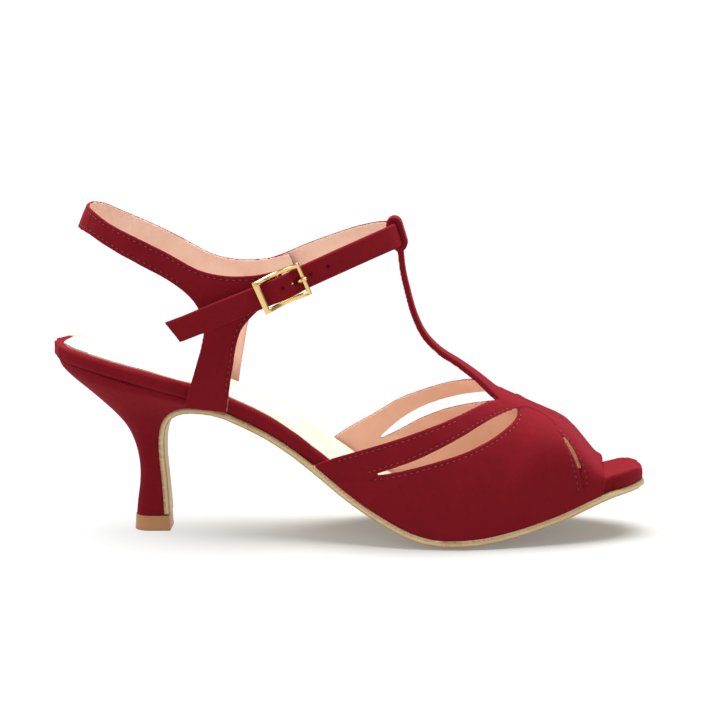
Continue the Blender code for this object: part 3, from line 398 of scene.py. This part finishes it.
def top_piece_material(colours):
    """Moulded polyurethane top piece: dense, slightly shiny, scuffed near the ground."""
    made, tree, shader, place = new_material("moulded_pu_top_piece")
    grit = add(tree, "TexNoise", {"Vector": place, "Scale": 700.0, "Detail": 4.0})
    height = add(tree, "SeparateXYZ", {"Vector": place})
    scuff = add(tree, "MapRange", {"Value": height.outputs["Z"], "From Min": 0.0,
                                   "From Max": 1.2 * MM, "To Min": 0.6, "To Max": 0.0})
    worn = add(tree, "Math", {0: scuff.outputs["Result"], 1: grit.outputs["Fac"]},
               operation="MULTIPLY")
    colour = add(tree, "Mix", {0: worn.outputs[0], 6: colours.top_piece,
                               7: linear("#6d4a31")}, data_type="RGBA")
    bump = add(tree, "Bump", {"Strength": 0.3, "Distance": 0.06 * MM,
                              "Height": grit.outputs["Fac"]})
    tree.links.new(colour.outputs[2], shader.inputs["Base Color"])
    tree.links.new(bump.outputs["Normal"], shader.inputs["Normal"])
    shader.inputs["Roughness"].default_value = 0.42
    return made


def thread_material(colours):
    """Bonded polyester thread: two twisted plies with a slight shine."""
    made, tree, shader, place = new_material("bonded_polyester_thread")
    # The plies turn about once in 0.8 mm.
    twist = add(tree, "TexWave", {"Vector": place, "Scale": 1200.0, "Distortion": 2.0},
                wave_type="BANDS")
    colour = add(tree, "Mix", {0: twist.outputs["Fac"], 6: colours.thread,
                               7: linear("#96323f")}, data_type="RGBA")
    tree.links.new(colour.outputs[2], shader.inputs["Base Color"])
    shader.inputs["Roughness"].default_value = 0.5
    shader.inputs["Sheen Weight"].default_value = 0.3
    return made


def gilt_material(colours):
    """Zinc casting, polished and gold plated: bright, with faint rubbing marks."""
    made, tree, shader, place = new_material("gold_plated_zinc")
    marks = add(tree, "TexNoise", {"Vector": place, "Scale": 900.0, "Detail": 3.0})
    gloss = add(tree, "MapRange", {"Value": marks.outputs["Fac"], "From Min": 0.3,
                                   "From Max": 0.7, "To Min": 0.10, "To Max": 0.22})
    tree.links.new(gloss.outputs["Result"], shader.inputs["Roughness"])
    shader.inputs["Base Color"].default_value = colours.gilt
    shader.inputs["Metallic"].default_value = 1.0
    return made


def floor_material():
    """White sweep under the shoe: matt near it with painted light in its shadow, glowing further
    out.
    """
    made, tree, shader, place = new_material("matt_white_sweep")
    cloud = add(tree, "TexNoise", {"Vector": place, "Scale": 3.0})
    tone = add(tree, "Mix", {0: cloud.outputs["Fac"], 6: linear("#c3c3c0"),
                             7: linear("#c6c6c3")}, data_type="RGBA")
    tree.links.new(tone.outputs[2], shader.inputs["Base Color"])
    shader.inputs["Roughness"].default_value = 0.9
    # The sweep glows white instead of being lit, except near the shoe; there a sixth of the glow is
    # kept as painted light, which lightens the cast shadow under the sole and fades the heel's
    # shadow.
    away = add(tree, "VectorMath", {0: place, 1: (25 * MM, 0, 0)}, operation="DISTANCE")
    share = add(tree, "MapRange", {"Value": away.outputs["Value"], "From Min": 0.06,
                                   "From Max": 0.20, "To Min": 0.16},
                interpolation_type="SMOOTHSTEP")
    glow = add(tree, "Emission", {"Color": linear("#ffffff"), "Strength": 1.05})
    both = add(tree, "MixShader", {0: share.outputs["Result"], 1: shader.outputs["BSDF"],
                                   2: glow.outputs["Emission"]})
    tree.links.new(both.outputs["Shader"], tree.nodes["Material Output"].inputs["Surface"])
    return made


def deselect():
    """Object mode with nothing selected."""
    if bpy.context.mode != "OBJECT":
        bpy.ops.object.mode_set(mode="OBJECT")
    bpy.ops.object.select_all(action="DESELECT")


def focus(piece):
    """Only this piece selected, and active."""
    deselect()
    piece.select_set(True)
    bpy.context.view_layer.objects.active = piece


def take(node, name):
    """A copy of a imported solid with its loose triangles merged, free of the frame."""
    focus(frame["nodes"][node])
    bpy.ops.object.duplicate(linked=False)
    piece = bpy.context.active_object
    piece.parent = None
    piece.name = name
    piece.data.name = name
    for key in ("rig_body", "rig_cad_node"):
        del piece[key]
    piece.data.materials.clear()
    bpy.ops.mesh.customdata_custom_splitnormals_clear()
    bpy.ops.object.mode_set(mode="EDIT")
    bpy.ops.mesh.select_all(action="SELECT")
    bpy.ops.mesh.remove_doubles(threshold=WELD)
    deselect()
    return piece


def shape(piece, kind, **settings):
    """One modifier, set and applied."""
    made = piece.modifiers.new(kind.title(), kind)
    for key, value in settings.items():
        setattr(made, key, value)
    focus(piece)
    bpy.ops.object.modifier_apply(modifier=made.name)


def coordinates(piece):
    """The piece's points as rows of x, y and z."""
    points = np.empty(len(piece.data.vertices) * 3)
    piece.data.vertices.foreach_get("co", points)
    return points.reshape(-1, 3)


def normals(piece):
    """The piece's point normals as rows of x, y and z."""
    found = np.empty(len(piece.data.vertices) * 3)
    piece.data.vertex_normals.foreach_get("vector", found)
    return found.reshape(-1, 3)


def move_points(piece, points):
    """Puts the piece's points at these places."""
    piece.data.vertices.foreach_set("co", points.ravel())
    piece.data.update()


def outward(points):
    """Unit vectors away from the foot's middle line."""
    best = np.full(len(points), np.inf)
    away = np.zeros_like(points)
    for (x0, z0), (x1, z1) in zip(FOOT_LINE, FOOT_LINE[1:]):
        start = np.array((x0, 0, z0))
        run = np.array((x1, 0, z1)) - start
        share = np.clip((points - start) @ run / (run @ run), 0, 1)
        offset = points - (start + share[:, None] * run)
        distance = np.linalg.norm(offset, axis=1)
        nearer = distance < best
        best[nearer] = distance[nearer]
        away[nearer] = offset[nearer]
    return away / np.maximum(np.linalg.norm(away, axis=1), WELD)[:, None]


def rim_edges(piece):
    """The folded edges of the piece's outer face, each with the way into the panel."""
    mesh = bmesh.new()
    mesh.from_mesh(piece.data)
    found = []
    centres = np.array([face.calc_center_median() for face in mesh.faces])
    facing = np.einsum("ij,ij->i", outward(centres), np.array([f.normal for f in mesh.faces]))
    mesh.faces.index_update()
    for edge in mesh.edges:
        if len(edge.link_faces) != 2 or edge.calc_face_angle(0) < FOLD:
            continue
        first, second = sorted(edge.link_faces, key=lambda face: -facing[face.index])
        if facing[first.index] < OUTSIDE or facing[second.index] > OUTSIDE:
            continue
        inward = -second.normal.project(second.normal - second.normal.project(first.normal))
        inward -= inward.project(first.normal)
        if inward.length > 0:
            found.append(Edge(edge.verts[0].co.copy(), edge.verts[1].co.copy(),
                              inward.normalized()))
    mesh.free()
    return found


def edge_points(piece):
    """Points along all sharp edges of the piece, a step apart."""
    mesh = bmesh.new()
    mesh.from_mesh(piece.data)
    points = []
    for edge in mesh.edges:
        melted = (edge.verts[0].co - SADDLE).length < SADDLE_REACH
        if len(edge.link_faces) == 2 and edge.calc_face_angle(0) > SHARP and not melted:
            points += along_edge(edge, STEP)
    mesh.free()
    return points


def along_edge(edge, step):
    """Points along a mesh edge, about a step apart."""
    count = max(1, round(edge.calc_length() / step))
    start, end = edge.verts[0].co, edge.verts[1].co
    return [start.lerp(end, i / count) for i in range(count + 1)]


def tree_of(points):
    """A search tree of points."""
    tree = KDTree(len(points))
    for index, point in enumerate(points):
        tree.insert(point, index)
    tree.balance()
    return tree


def distances(piece, points):
    """How far each point of the piece lies from the nearest of these points."""
    tree = tree_of(points)
    return np.array([tree.find(vertex.co)[2] for vertex in piece.data.vertices])


def paint(piece, name, values):
    """Keeps a number for each point of the piece, for its material to read."""
    layer = piece.data.attributes.new(name, "FLOAT", "POINT")
    layer.data.foreach_set("value", np.asarray(values, np.float32))


def ramp(values, low, high):
    """From 0 at low to 1 at high, smoothly."""
    share = np.clip((values - low) / (high - low), 0, 1)
    return share * share * (3 - 2 * share)


def soften(piece, edges, facet, rounds, reach):
    """Remeshes the piece evenly, then smooths its panels fully and its edges a little."""
    shape(piece, "REMESH", mode="VOXEL", voxel_size=facet, use_smooth_shade=True)
    most = MOST_FACES / len(piece.data.polygons)
    if most < 1:
        shape(piece, "DECIMATE", ratio=most)
    rim = distances(piece, edges)
    smooth(piece, ramp(rim, 0.2 * reach, reach), rounds)
    shape(piece, "SMOOTH", factor=0.5, iterations=3)
    return rim


def smooth(piece, weights, rounds):
    """Smooths the piece, each point by its weight."""
    group = piece.vertex_groups.new(name="share")
    for index, weight in enumerate(weights):
        if weight:
            group.add([index], float(weight), "REPLACE")
    shape(piece, "SMOOTH", factor=0.5, iterations=rounds, vertex_group="share")
    piece.vertex_groups.remove(piece.vertex_groups["share"])


def melt(piece, centre, reach, rounds):
    """Smooths the piece round a place, most in its middle."""
    gap = np.linalg.norm(coordinates(piece) - np.array(centre), axis=1)
    smooth(piece, 1 - ramp(gap, 0.4 * reach, reach), rounds)


def snug(piece, node, reach):
    """Brings the piece's face up to a neighbouring solid, where the two face each other."""
    faces = surface_of(frame["nodes"][node])
    points = coordinates(piece)
    ways = normals(piece)
    for index, point in enumerate(points):
        spot, normal, face, gap = faces.find_nearest(Vector(point), reach)
        if spot is not None and gap > WELD:
            toward = (np.array(spot) - point) / gap
            if toward @ ways[index] > SQUARE:
                fade = 1 - float(ramp(gap, 0.6 * reach, reach))
                points[index] = point + toward * (gap + PRESS) * fade
    move_points(piece, points)


def linked_rows(edges):
    """The edges joined end to end into lines of points, with the way into the panel at each."""
    def key(point):
        return tuple(round(c / (5 * WELD)) for c in point)

    ends = {}
    for index, edge in enumerate(edges):
        ends.setdefault(key(edge.start), []).append(index)
        ends.setdefault(key(edge.end), []).append(index)
    unused = set(range(len(edges)))
    lines = []
    while unused:
        first = min(unused)
        unused.remove(first)
        line = [edges[first].start, edges[first].end]
        ways = [edges[first].inward]
        for at_end in (True, False):
            while True:
                tip = line[-1] if at_end else line[0]
                before = line[-2] if at_end else line[1]
                options = [i for i in ends[key(tip)] if i in unused]
                run = (tip - before).normalized()
                best, turn = None, 0.5
                for option in options:
                    edge = edges[option]
                    other = edge.end if key(edge.start) == key(tip) else edge.start
                    if (other - tip).length and run.dot((other - tip).normalized()) > turn:
                        best, turn, far = option, run.dot((other - tip).normalized()), other
                if best is None:
                    break
                unused.remove(best)
                if at_end:
                    line.append(far)
                    ways.append(edges[best].inward)
                else:
                    line.insert(0, far)
                    ways.insert(0, edges[best].inward)
        lines.append((line, ways))
    return joined_lines(lines)


def joined_lines(lines):
    """Lines that follow on from each other across a short break, joined."""
    lines = [line for line in lines if len(line[1]) > 1]
    count = 0
    while count != len(lines):
        count = len(lines)
        for first in lines:
            others = [line for line in lines if line is not first]
            options = [(line, turned) for line in others for turned in (False, True)]
            for second, turned in options:
                points = second[0][::-1] if turned else second[0]
                gap = points[0] - first[0][-1]
                run = (first[0][-1] - first[0][-2]).normalized()
                onward = (points[1] - points[0]).normalized()
                straight = gap.length < WELD or run.dot(gap) > 0.8 * gap.length
                if gap.length < BREAK and run.dot(onward) > 0.7 and straight:
                    ways = second[1][::-1] if turned else second[1]
                    bridge = [first[1][-1]] if gap.length > WELD else []
                    points = points if bridge else points[1:]
                    lines.remove(first)
                    lines.remove(second)
                    lines.append((first[0] + points, first[1] + bridge + ways))
                    break
            if count != len(lines):
                break
    return lines


def stitch_rows(edges, inset):
    """Lines of points set in from the folded edges, a step apart."""
    rows = []
    for line, ways in linked_rows(edges):
        points = np.array([list(p) for p in line])
        lengths = np.linalg.norm(np.diff(points, axis=0), axis=1)
        along = np.concatenate(([0], np.cumsum(lengths)))
        if along[-1] < LEAST_LINE:
            continue
        middles = (along[1:] + along[:-1]) / 2
        places = np.arange(0, along[-1], STEP)
        way = np.array([list(w) for w in ways])
        spot = np.stack([np.interp(places, along, points[:, i]) for i in range(3)], 1)
        into = np.stack([np.interp(places, middles, way[:, i]) for i in range(3)], 1)
        into /= np.maximum(np.linalg.norm(into, axis=1), WELD)[:, None]
        spot += into * inset
        width = 2 * int(ROW_SPAN / STEP) + 1
        padded = np.pad(spot, ((width // 2, width // 2), (0, 0)), mode="edge")
        kernel = np.ones(width) / width
        rows.append(np.stack([np.convolve(padded[:, i], kernel, "valid") for i in range(3)], 1))
    return rows


def surface_of(piece):
    """A search tree of the piece's faces."""
    return BVHTree.FromPolygons([v.co for v in piece.data.vertices],
                                [f.vertices for f in piece.data.polygons])


def away_from(rows, keep_out, gap):
    """The rows without what lies within a gap of another piece, split where that breaks them."""
    kept = []
    for row in rows:
        run = []
        for point in row:
            near = keep_out.find_nearest(Vector(point), gap)[0]
            if near is None:
                run.append(point)
            elif run:
                kept.append(np.array(run))
                run = []
        if run:
            kept.append(np.array(run))
    return kept


def sink_rows(piece, rows):
    """Presses a soft groove into the piece along the rows; marks how near each point is, for
    painted shade.
    """
    near = np.full(len(piece.data.vertices), FAR)
    if rows:
        near = distances(piece, [Vector(p) for row in rows for p in row])
    groove = ROW_DEPTH * np.exp(-(near / ROW_WIDTH) ** 2)
    move_points(piece, coordinates(piece) - normals(piece) * groove[:, None])
    if "seam" in piece.data.attributes:
        seam = np.empty(len(near), np.float32)
        piece.data.attributes["seam"].data.foreach_get("value", seam)
        near = np.minimum(near, seam)
    paint(piece, "row", np.minimum(near, FAR))


def crease(piece):
    """Presses the soft troughs, and raises the ridges, of the suede's own folds."""
    points = coordinates(piece)
    ways = normals(piece)
    moved = np.zeros(len(points))
    for fold in CREASES:
        run = np.array((math.cos(math.radians(fold.slope)), math.sin(math.radians(fold.slope))))
        offset = points[:, (0, 2)] - (fold.x, fold.z)
        along = offset @ run / fold.half
        across = (offset @ (-run[1], run[0])) / fold.width
        share = np.exp(-along ** 4 - across ** 2) * (points[:, 1] * fold.side > 0)
        facing = np.einsum("ij,ij->i", outward(points), ways)
        moved += fold.depth * share * np.sign(facing) * (np.abs(facing) > 0.3)
    move_points(piece, points - ways * moved[:, None])


def thread_piece(name, piece, rows, sizes):
    """One stitch modelled, then copied along the rows over the piece's face."""
    deselect()
    bpy.ops.mesh.primitive_uv_sphere_add(segments=8, ring_count=6, radius=0.5)
    stitch = bpy.context.active_object
    stitch.name = name
    form = coordinates(stitch) * (sizes.stitch_length, sizes.thread, 0.8 * sizes.thread)
    faces = [list(f.vertices) for f in stitch.data.polygons]
    face_tree = surface_of(piece)
    every = round(sizes.stitch_pitch / STEP)
    points, polygons = [], []
    for row in rows:
        for index in range(every // 2, len(row) - 1, every):
            place, normal, face, gap = face_tree.find_nearest(Vector(row[index]))
            run = Vector(row[min(index + 1, len(row) - 1)] - row[index - 1])
            run = (run - run.project(normal)).normalized()
            across = normal.cross(run)
            turned = form @ np.array([run, across, normal]) + np.array(place)
            base = len(points) * len(form)
            points.append(turned)
            polygons += [[base + i for i in f] for f in faces]
    mesh = bpy.data.meshes.new(name)
    mesh.from_pydata(np.concatenate(points).tolist(), [], polygons)
    stitch.data = mesh
    focus(stitch)
    bpy.ops.object.shade_smooth()
    return stitch


def give_lining(piece, top):
    """The lining material on the faces that look at the foot, up to a height."""
    centres = np.empty(len(piece.data.polygons) * 3)
    piece.data.polygons.foreach_get("center", centres)
    facing = np.empty(len(piece.data.polygons) * 3)
    piece.data.polygons.foreach_get("normal", facing)
    centres = centres.reshape(-1, 3)
    facing = facing.reshape(-1, 3)
    turn = np.einsum("ij,ij->i", outward(centres), facing)
    # The suede is folded over the top edges.
    inside = (turn < LINING_TURN) & (facing[:, 2] < UPTURNED) & (centres[:, 2] < top)
    piece.data.polygons.foreach_set("material_index", inside.astype(np.int32))
    piece.data.update()


def hand_over(piece, slot, *nodes):
    """The piece rides with the shoe and stands for its solids."""
    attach(piece, BODY)
    if nodes:
        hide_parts(*nodes)


def finish_named(name):
    """A material made earlier."""
    return bpy.data.materials[name]


def raise_saddle(piece, height):
    """Lifts the saddle's edge over the front panel by a step that fades upward."""
    points = coordinates(piece)
    facing = np.einsum("ij,ij->i", outward(points), normals(piece))
    seam = np.array(SEAM_POINTS)
    half = np.interp(points[:, 0], seam[:, 0], seam[:, 1])
    line = [Vector((x, y, 0)) for x, y in dense(seam, 0.3 * MM)]
    tree = tree_of(line)
    flat = [Vector((p[0], abs(p[1]), 0)) for p in points]
    gap = np.array([tree.find(p)[2] for p in flat])
    inside = (np.abs(points[:, 1]) < half) & (points[:, 0] > seam[0, 0]) \
        & (points[:, 0] < seam[-1, 0])
    lift = height * ramp(gap, 0, SEAM_RISE) * (1 - ramp(gap, *SEAM_FADE))
    dip = SEAM_DIP * height * (1 - ramp(gap, 0, SEAM_DIP_WIDTH))
    share = np.where(inside, lift, -dip) * ramp(facing, 0.2, 0.6)
    share *= points[:, 2] > SEAM_LOW
    move_points(piece, points + normals(piece) * share[:, None])
    # The distance to the seam is kept for the suede's painted shade along the saddle's step.
    paint(piece, "seam", np.where(facing > 0.2, np.minimum(gap, FAR), FAR))


def dense(points, step):
    """A line's points, a step apart."""
    lengths = np.linalg.norm(np.diff(points, axis=0), axis=1)
    along = np.concatenate(([0], np.cumsum(lengths)))
    places = np.arange(0, along[-1], step)
    return np.stack([np.interp(places, along, points[:, i]) for i in range(points.shape[1])], 1)


def finished(piece, *names):
    """Gives the piece these finishes, in this order."""
    for name in names:
        piece.data.materials.append(finish_named(name))


def soft_piece(name, node, facet, rounds, reach):
    """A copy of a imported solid, softened, and the folded edges that it had."""
    piece = take(node, name)
    edges = rim_edges(piece)
    rim = soften(piece, edge_points(piece), facet, rounds, reach)
    paint(piece, "rim", np.minimum(rim, FAR))
    return piece, edges


def dress(piece, edges, node, keep_out, gap, sizes, allowed=None):
    """Stitch rows, lining, suede and thread on a softened piece."""
    rows = stitch_rows(edges, sizes.stitch_inset)
    for other in keep_out:
        rows = away_from(rows, surface_of(frame["nodes"][other]), gap)
    if allowed:
        rows = [row[[allowed(point) for point in row]] for row in rows]
    rows = [row for row in rows if len(row) * STEP > LEAST_ROW]
    crease(piece)
    sink_rows(piece, rows)
    finished(piece, "kid_suede_buffed_red", "nude_pigskin_lining")
    give_lining(piece, LOOP_FOOT if node == "upper" else CAD_BOX[1][2])
    hand_over(piece, "upper_suede", node)
    if rows:
        thread = thread_piece("thread_" + node, piece, rows, sizes)
        finished(thread, "bonded_polyester_thread")
        hand_over(thread, "upper_suede")


def plain_suede(piece):
    """Suede with no stitches."""
    paint(piece, "row", np.full(len(piece.data.vertices), FAR))
    finished(piece, "kid_suede_buffed_red")


class SANDAL_OT_materials(bpy.types.Operator):
    """Make the sandal's suede, leathers, thread and gilt metal"""
    bl_idname = "sandal.materials"
    bl_label = "Materials"

    def execute(self, context):
        colours = context.scene.sandal_colours
        for make in (suede_material, lining_material, sock_material, sole_material,
                     top_piece_material, thread_material, gilt_material):
            make(colours)
        return {"FINISHED"}


class SANDAL_OT_upper(bpy.types.Operator):
    """Dress the front panel, the saddle and the T strap in suede, with lining and stitches"""
    bl_idname = "sandal.upper"
    bl_label = "Upper"

    def execute(self, context):
        sizes = context.scene.sandal_sizes
        piece, edges = soft_piece("suede_upper", "upper", sizes.facet, 50, 4 * MM)
        melt(piece, SADDLE, 12 * MM, 120)
        melt(piece, TOE_EDGE, 14 * MM, 50)
        snug(piece, "ankle_strap", 2.2 * MM)
        raise_saddle(piece, sizes.overlay)
        dress(piece, edges, "upper", ("outsole", "footbed", "ankle_strap"), 3 * MM, sizes,
              self.stitched)
        return {"FINISHED"}

    def stitched(self, point):
        """Whether a place is off the saddle and the T strap, which have no stitches."""
        beside = abs(point[1]) > SADDLE_HALF or point[0] > SADDLE_FRONT
        return point[2] < T_STRAP_FOOT and beside


class SANDAL_OT_quarter(bpy.types.Operator):
    """Dress the heel sling and its legs in suede, with lining and stitches"""
    bl_idname = "sandal.quarter"
    bl_label = "Quarter"

    def execute(self, context):
        sizes = context.scene.sandal_sizes
        piece, edges = soft_piece("suede_quarter", "quarter", sizes.facet, 40, 4 * MM)
        snug(piece, "footbed", 0.9 * MM)
        dress(piece, edges, "quarter", ("footbed", "heel"), 3 * MM, sizes,
              lambda point: point[2] > LEG_FOOT)
        return {"FINISHED"}


class SANDAL_OT_ankle_strap(bpy.types.Operator):
    """Dress the ankle strap in suede and punch its holes"""
    bl_idname = "sandal.ankle_strap"
    bl_label = "Ankle strap"

    def execute(self, context):
        sizes = context.scene.sandal_sizes
        piece = take("ankle_strap", "suede_ankle_strap")
        edges = rim_edges(piece)
        holes = [self.punch(piece, place, sizes.hole, 2 * HOLE_DEPTH, 0, "DIFFERENCE")
                 for place in HOLE_PLACES]
        # The prong's own hole is backed, so that no light comes through it.
        width, thick, deep = BACKING
        shift = deep + 0.5 * thick
        holes.append(self.punch(piece, PRONG_PLACE, width, thick, shift, "UNION"))
        soften(piece, edge_points(piece), 0.7 * sizes.facet, 50, 3 * MM)
        # The distance to the holes is kept as the seam mark, for the suede's painted shade inside
        # them.
        paint(piece, "seam", np.maximum(distances(piece, holes) - 0.6 * sizes.hole, 0))
        dress(piece, edges, "ankle_strap", ("upper", "quarter"), 0.6 * MM, sizes)
        return {"FINISHED"}

    def punch(self, piece, place, width, length, shift, operation):
        """Cuts or adds a round plug at mid height of the strap's near side; its place."""
        faces = surface_of(piece)
        hits = [faces.ray_cast(Vector((place, STRAP_SIDE, z)), Vector((0, 1, 0)), STRAP_SEARCH)
                for z in STRAP_HEIGHTS]
        hits = [hit for hit in hits if hit[0] is not None]
        middle = sum((hit[0] for hit in hits), Vector()) / len(hits)
        normal = sum((hit[1] for hit in hits), Vector()).normalized()
        deselect()
        bpy.ops.mesh.primitive_cylinder_add(
            vertices=20, radius=width / 2, depth=length, location=middle - normal * shift,
            rotation=normal.to_track_quat("Z", "Y").to_euler())
        cutter = bpy.context.active_object
        shape(piece, "BOOLEAN", operation=operation, object=cutter, solver="EXACT")
        bpy.data.objects.remove(cutter)
        return middle


class SANDAL_OT_footbed(bpy.types.Operator):
    """Cover the footbed and its rand in suede"""
    bl_idname = "sandal.footbed"
    bl_label = "Footbed"

    def execute(self, context):
        sizes = context.scene.sandal_sizes
        piece = soft_piece("suede_footbed", "footbed", 1.2 * sizes.facet, 60, 4 * MM)[0]
        melt(piece, TOE_END, 32 * MM, 25)
        plain_suede(piece)
        finished(piece, "nude_pigskin_lining")
        for face in piece.data.polygons:
            behind = min((face.center - Vector(spot)).length for spot in SLIT_BACKS)
            face.material_index = int(behind < BACK_REACH and face.normal.z < UPTURNED)
        hand_over(piece, "rand_suede", "footbed")
        return {"FINISHED"}


class SANDAL_OT_heel(bpy.types.Operator):
    """Cover the heel in suede and seat its top piece"""
    bl_idname = "sandal.heel"
    bl_label = "Heel"

    def execute(self, context):
        sizes = context.scene.sandal_sizes
        piece = soft_piece("suede_heel", "heel", sizes.facet, 50, 3 * MM)[0]
        snug(piece, "footbed", 0.9 * MM)
        plain_suede(piece)
        hand_over(piece, "heel_suede", "heel")
        tip = take("top_piece", "heel_top_piece")
        shape(tip, "BEVEL", width=0.3 * MM, segments=3, limit_method="ANGLE",
              angle_limit=math.radians(40))
        focus(tip)
        bpy.ops.object.shade_smooth_by_angle(angle=math.radians(35))
        finished(tip, "moulded_pu_top_piece")
        hand_over(tip, "top_piece", "top_piece")
        return {"FINISHED"}


class SANDAL_OT_sole(bpy.types.Operator):
    """Make the leather outsole with its waxed edge"""
    bl_idname = "sandal.sole"
    bl_label = "Outsole"

    def execute(self, context):
        sizes = context.scene.sandal_sizes
        piece = soft_piece("leather_outsole", "outsole", sizes.facet, 40, 3 * MM)[0]
        for node in ("upper", "footbed", "heel"):
            snug(piece, node, 1.2 * MM)
        finished(piece, "veg_tanned_sole_leather")
        hand_over(piece, "sole_leather", "outsole")
        return {"FINISHED"}


class SANDAL_OT_sock(bpy.types.Operator):
    """Lay the cream sock on the footbed"""
    bl_idname = "sandal.sock"
    bl_label = "Sock"

    def execute(self, context):
        sizes = context.scene.sandal_sizes
        piece = soft_piece("leather_sock", "sock_lining", sizes.facet, 40, 3 * MM)[0]
        self.fit(piece)
        finished(piece, "cream_sheepskin_sock")
        hand_over(piece, "sock_leather", "sock_lining")
        return {"FINISHED"}


    def fit(self, piece):
        """Glues the sock down, so that only its pared edge stands above the suede rim."""
        mesh = bmesh.new()
        mesh.from_mesh(frame["nodes"]["footbed"].data)
        bmesh.ops.remove_doubles(mesh, verts=mesh.verts, dist=WELD)
        mesh.normal_update()
        rim = []
        for edge in mesh.edges:
            up = sorted(face.normal.z for face in edge.link_faces)
            if len(up) == 2 and up[0] < SHOULDER < up[1]:
                spots = along_edge(edge, SHOULDER_STEP)
                rim += [Vector((spot.x, spot.y, 0)) for spot in spots]
        mesh.free()
        tree = tree_of(rim)
        points = coordinates(piece) - (0, 0, SOCK_DROP)
        for index, point in enumerate(points):
            flat = Vector((point[0], point[1], 0))
            spot, nearest, gap = tree.find(flat)
            room = SOCK_RIM + SOCK_BACK * float(ramp(-point[0], *BACK_SPAN))
            room *= float(ramp(-point[0], *RIM_SPAN))
            if 0 < gap < room:
                points[index, :2] = (spot + (flat - spot) * (room / gap))[:2]
        move_points(piece, points)
        shape(piece, "SMOOTH", factor=0.5, iterations=8)
        points = coordinates(piece)
        faces = surface_of(bpy.data.objects["suede_footbed"])
        for index in np.flatnonzero(normals(piece)[:, 2] > 0.2):
            point = Vector(points[index])
            spot, normal, face, gap = faces.find_nearest(point)
            if (point - spot).dot(normal) < SOCK_EDGE:
                points[index] = spot + normal * SOCK_EDGE
        move_points(piece, points)


class SANDAL_OT_buckle(bpy.types.Operator):
    """Polish and plate the buckle and its prong"""
    bl_idname = "sandal.buckle"
    bl_label = "Buckle"

    def execute(self, context):
        for node, name in (("buckle", "gilt_buckle"), ("prong", "gilt_prong")):
            piece = take(node, name)
            shape(piece, "BEVEL", width=0.2 * MM, segments=3, limit_method="ANGLE",
                  angle_limit=math.radians(35))
            focus(piece)
            bpy.ops.object.shade_smooth_by_angle(angle=math.radians(35))
            finished(piece, "gold_plated_zinc")
            hand_over(piece, "buckle_gold", node)
        return {"FINISHED"}


class SANDAL_OT_stage(bpy.types.Operator):
    """Set the white floor, the soft lights and the camera"""
    bl_idname = "sandal.stage"
    bl_label = "Stage"

    def execute(self, context):
        deselect()
        bpy.ops.mesh.primitive_grid_add(x_subdivisions=8, y_subdivisions=8, size=8,
                                        location=(0, 2, 0))
        floor = bpy.context.active_object
        floor.name = "floor"
        bpy.ops.object.transform_apply(location=True, rotation=False, scale=False)
        floor.data.materials.append(floor_material())
        self.lights()
        self.camera(context.scene)
        return {"FINISHED"}

    def lights(self):
        """A broad lamp above and behind, a weak one in front, and a white room."""
        for name, place, size, power in (("top_light", (0.05, 0.25, 1.5), 1.4, 50),
                                         ("left_light", (-1.3, -0.4, 0.9), 0.8, 6),
                                         ("front_light", (0.5, -1.8, 0.7), 1.6, 4.5)):
            deselect()
            aim = (VIEW_TARGET - Vector(place)).to_track_quat("-Z", "Y").to_euler()
            bpy.ops.object.light_add(type="AREA", location=place, rotation=aim)
            lamp = bpy.context.active_object
            lamp.name = name
            lamp.data.size = size
            lamp.data.energy = power
        world = bpy.data.worlds.new("white_room")
        world.use_nodes = True
        room = world.node_tree.nodes["Background"]
        room.inputs["Color"].default_value = linear("#ffffff")
        room.inputs["Strength"].default_value = 0.3
        bpy.context.scene.world = world

    def camera(self, scene):
        """The photograph's camera."""
        level = math.cos(VIEW_ELEVATION)
        back = Vector((math.sin(VIEW_AZIMUTH) * level, -math.cos(VIEW_AZIMUTH) * level,
                       math.sin(VIEW_ELEVATION)))
        deselect()
        bpy.ops.object.camera_add(location=VIEW_TARGET + back * VIEW_DISTANCE,
                                  rotation=(-back).to_track_quat("-Z", "Y").to_euler())
        camera = bpy.context.active_object
        camera.name = "view"
        camera.data.lens = VIEW_LENS
        camera.data.clip_start = 0.05
        scene.camera = camera
        scene.view_settings.view_transform = "Standard"


class SANDAL_PT_panel(bpy.types.Panel):
    """The sandal's sizes, colours and steps"""
    bl_label = "T strap sandal"
    bl_idname = "SANDAL_PT_panel"
    bl_space_type = "VIEW_3D"
    bl_region_type = "UI"
    bl_category = "Sandal"

    def draw(self, context):
        for group in (context.scene.sandal_sizes, context.scene.sandal_colours):
            box = self.layout.box()
            for name in group.__annotations__:
                box.prop(group, name)
        for operator in OPERATORS:
            self.layout.operator(operator.bl_idname)


OPERATORS = (SANDAL_OT_stage, SANDAL_OT_materials, SANDAL_OT_upper, SANDAL_OT_quarter,
             SANDAL_OT_ankle_strap, SANDAL_OT_footbed, SANDAL_OT_heel, SANDAL_OT_sole,
             SANDAL_OT_sock, SANDAL_OT_buckle)
CLASSES = (SandalSizes, SandalColours, *OPERATORS, SANDAL_PT_panel)


def register():
    """Registers the classes and their settings."""
    for each in CLASSES:
        bpy.utils.register_class(each)
    bpy.types.Scene.sandal_sizes = bpy.props.PointerProperty(type=SandalSizes)
    bpy.types.Scene.sandal_colours = bpy.props.PointerProperty(type=SandalColours)


def unregister():
    """Removes the settings and the classes."""
    del bpy.types.Scene.sandal_colours
    del bpy.types.Scene.sandal_sizes
    for each in reversed(CLASSES):
        bpy.utils.unregister_class(each)


def main():
    """Builds the whole finish."""
    register()
    for operator in OPERATORS:
        group, name = operator.bl_idname.split(".")
        getattr(getattr(bpy.ops, group), name)()


if __name__ == "__main__":
    main()
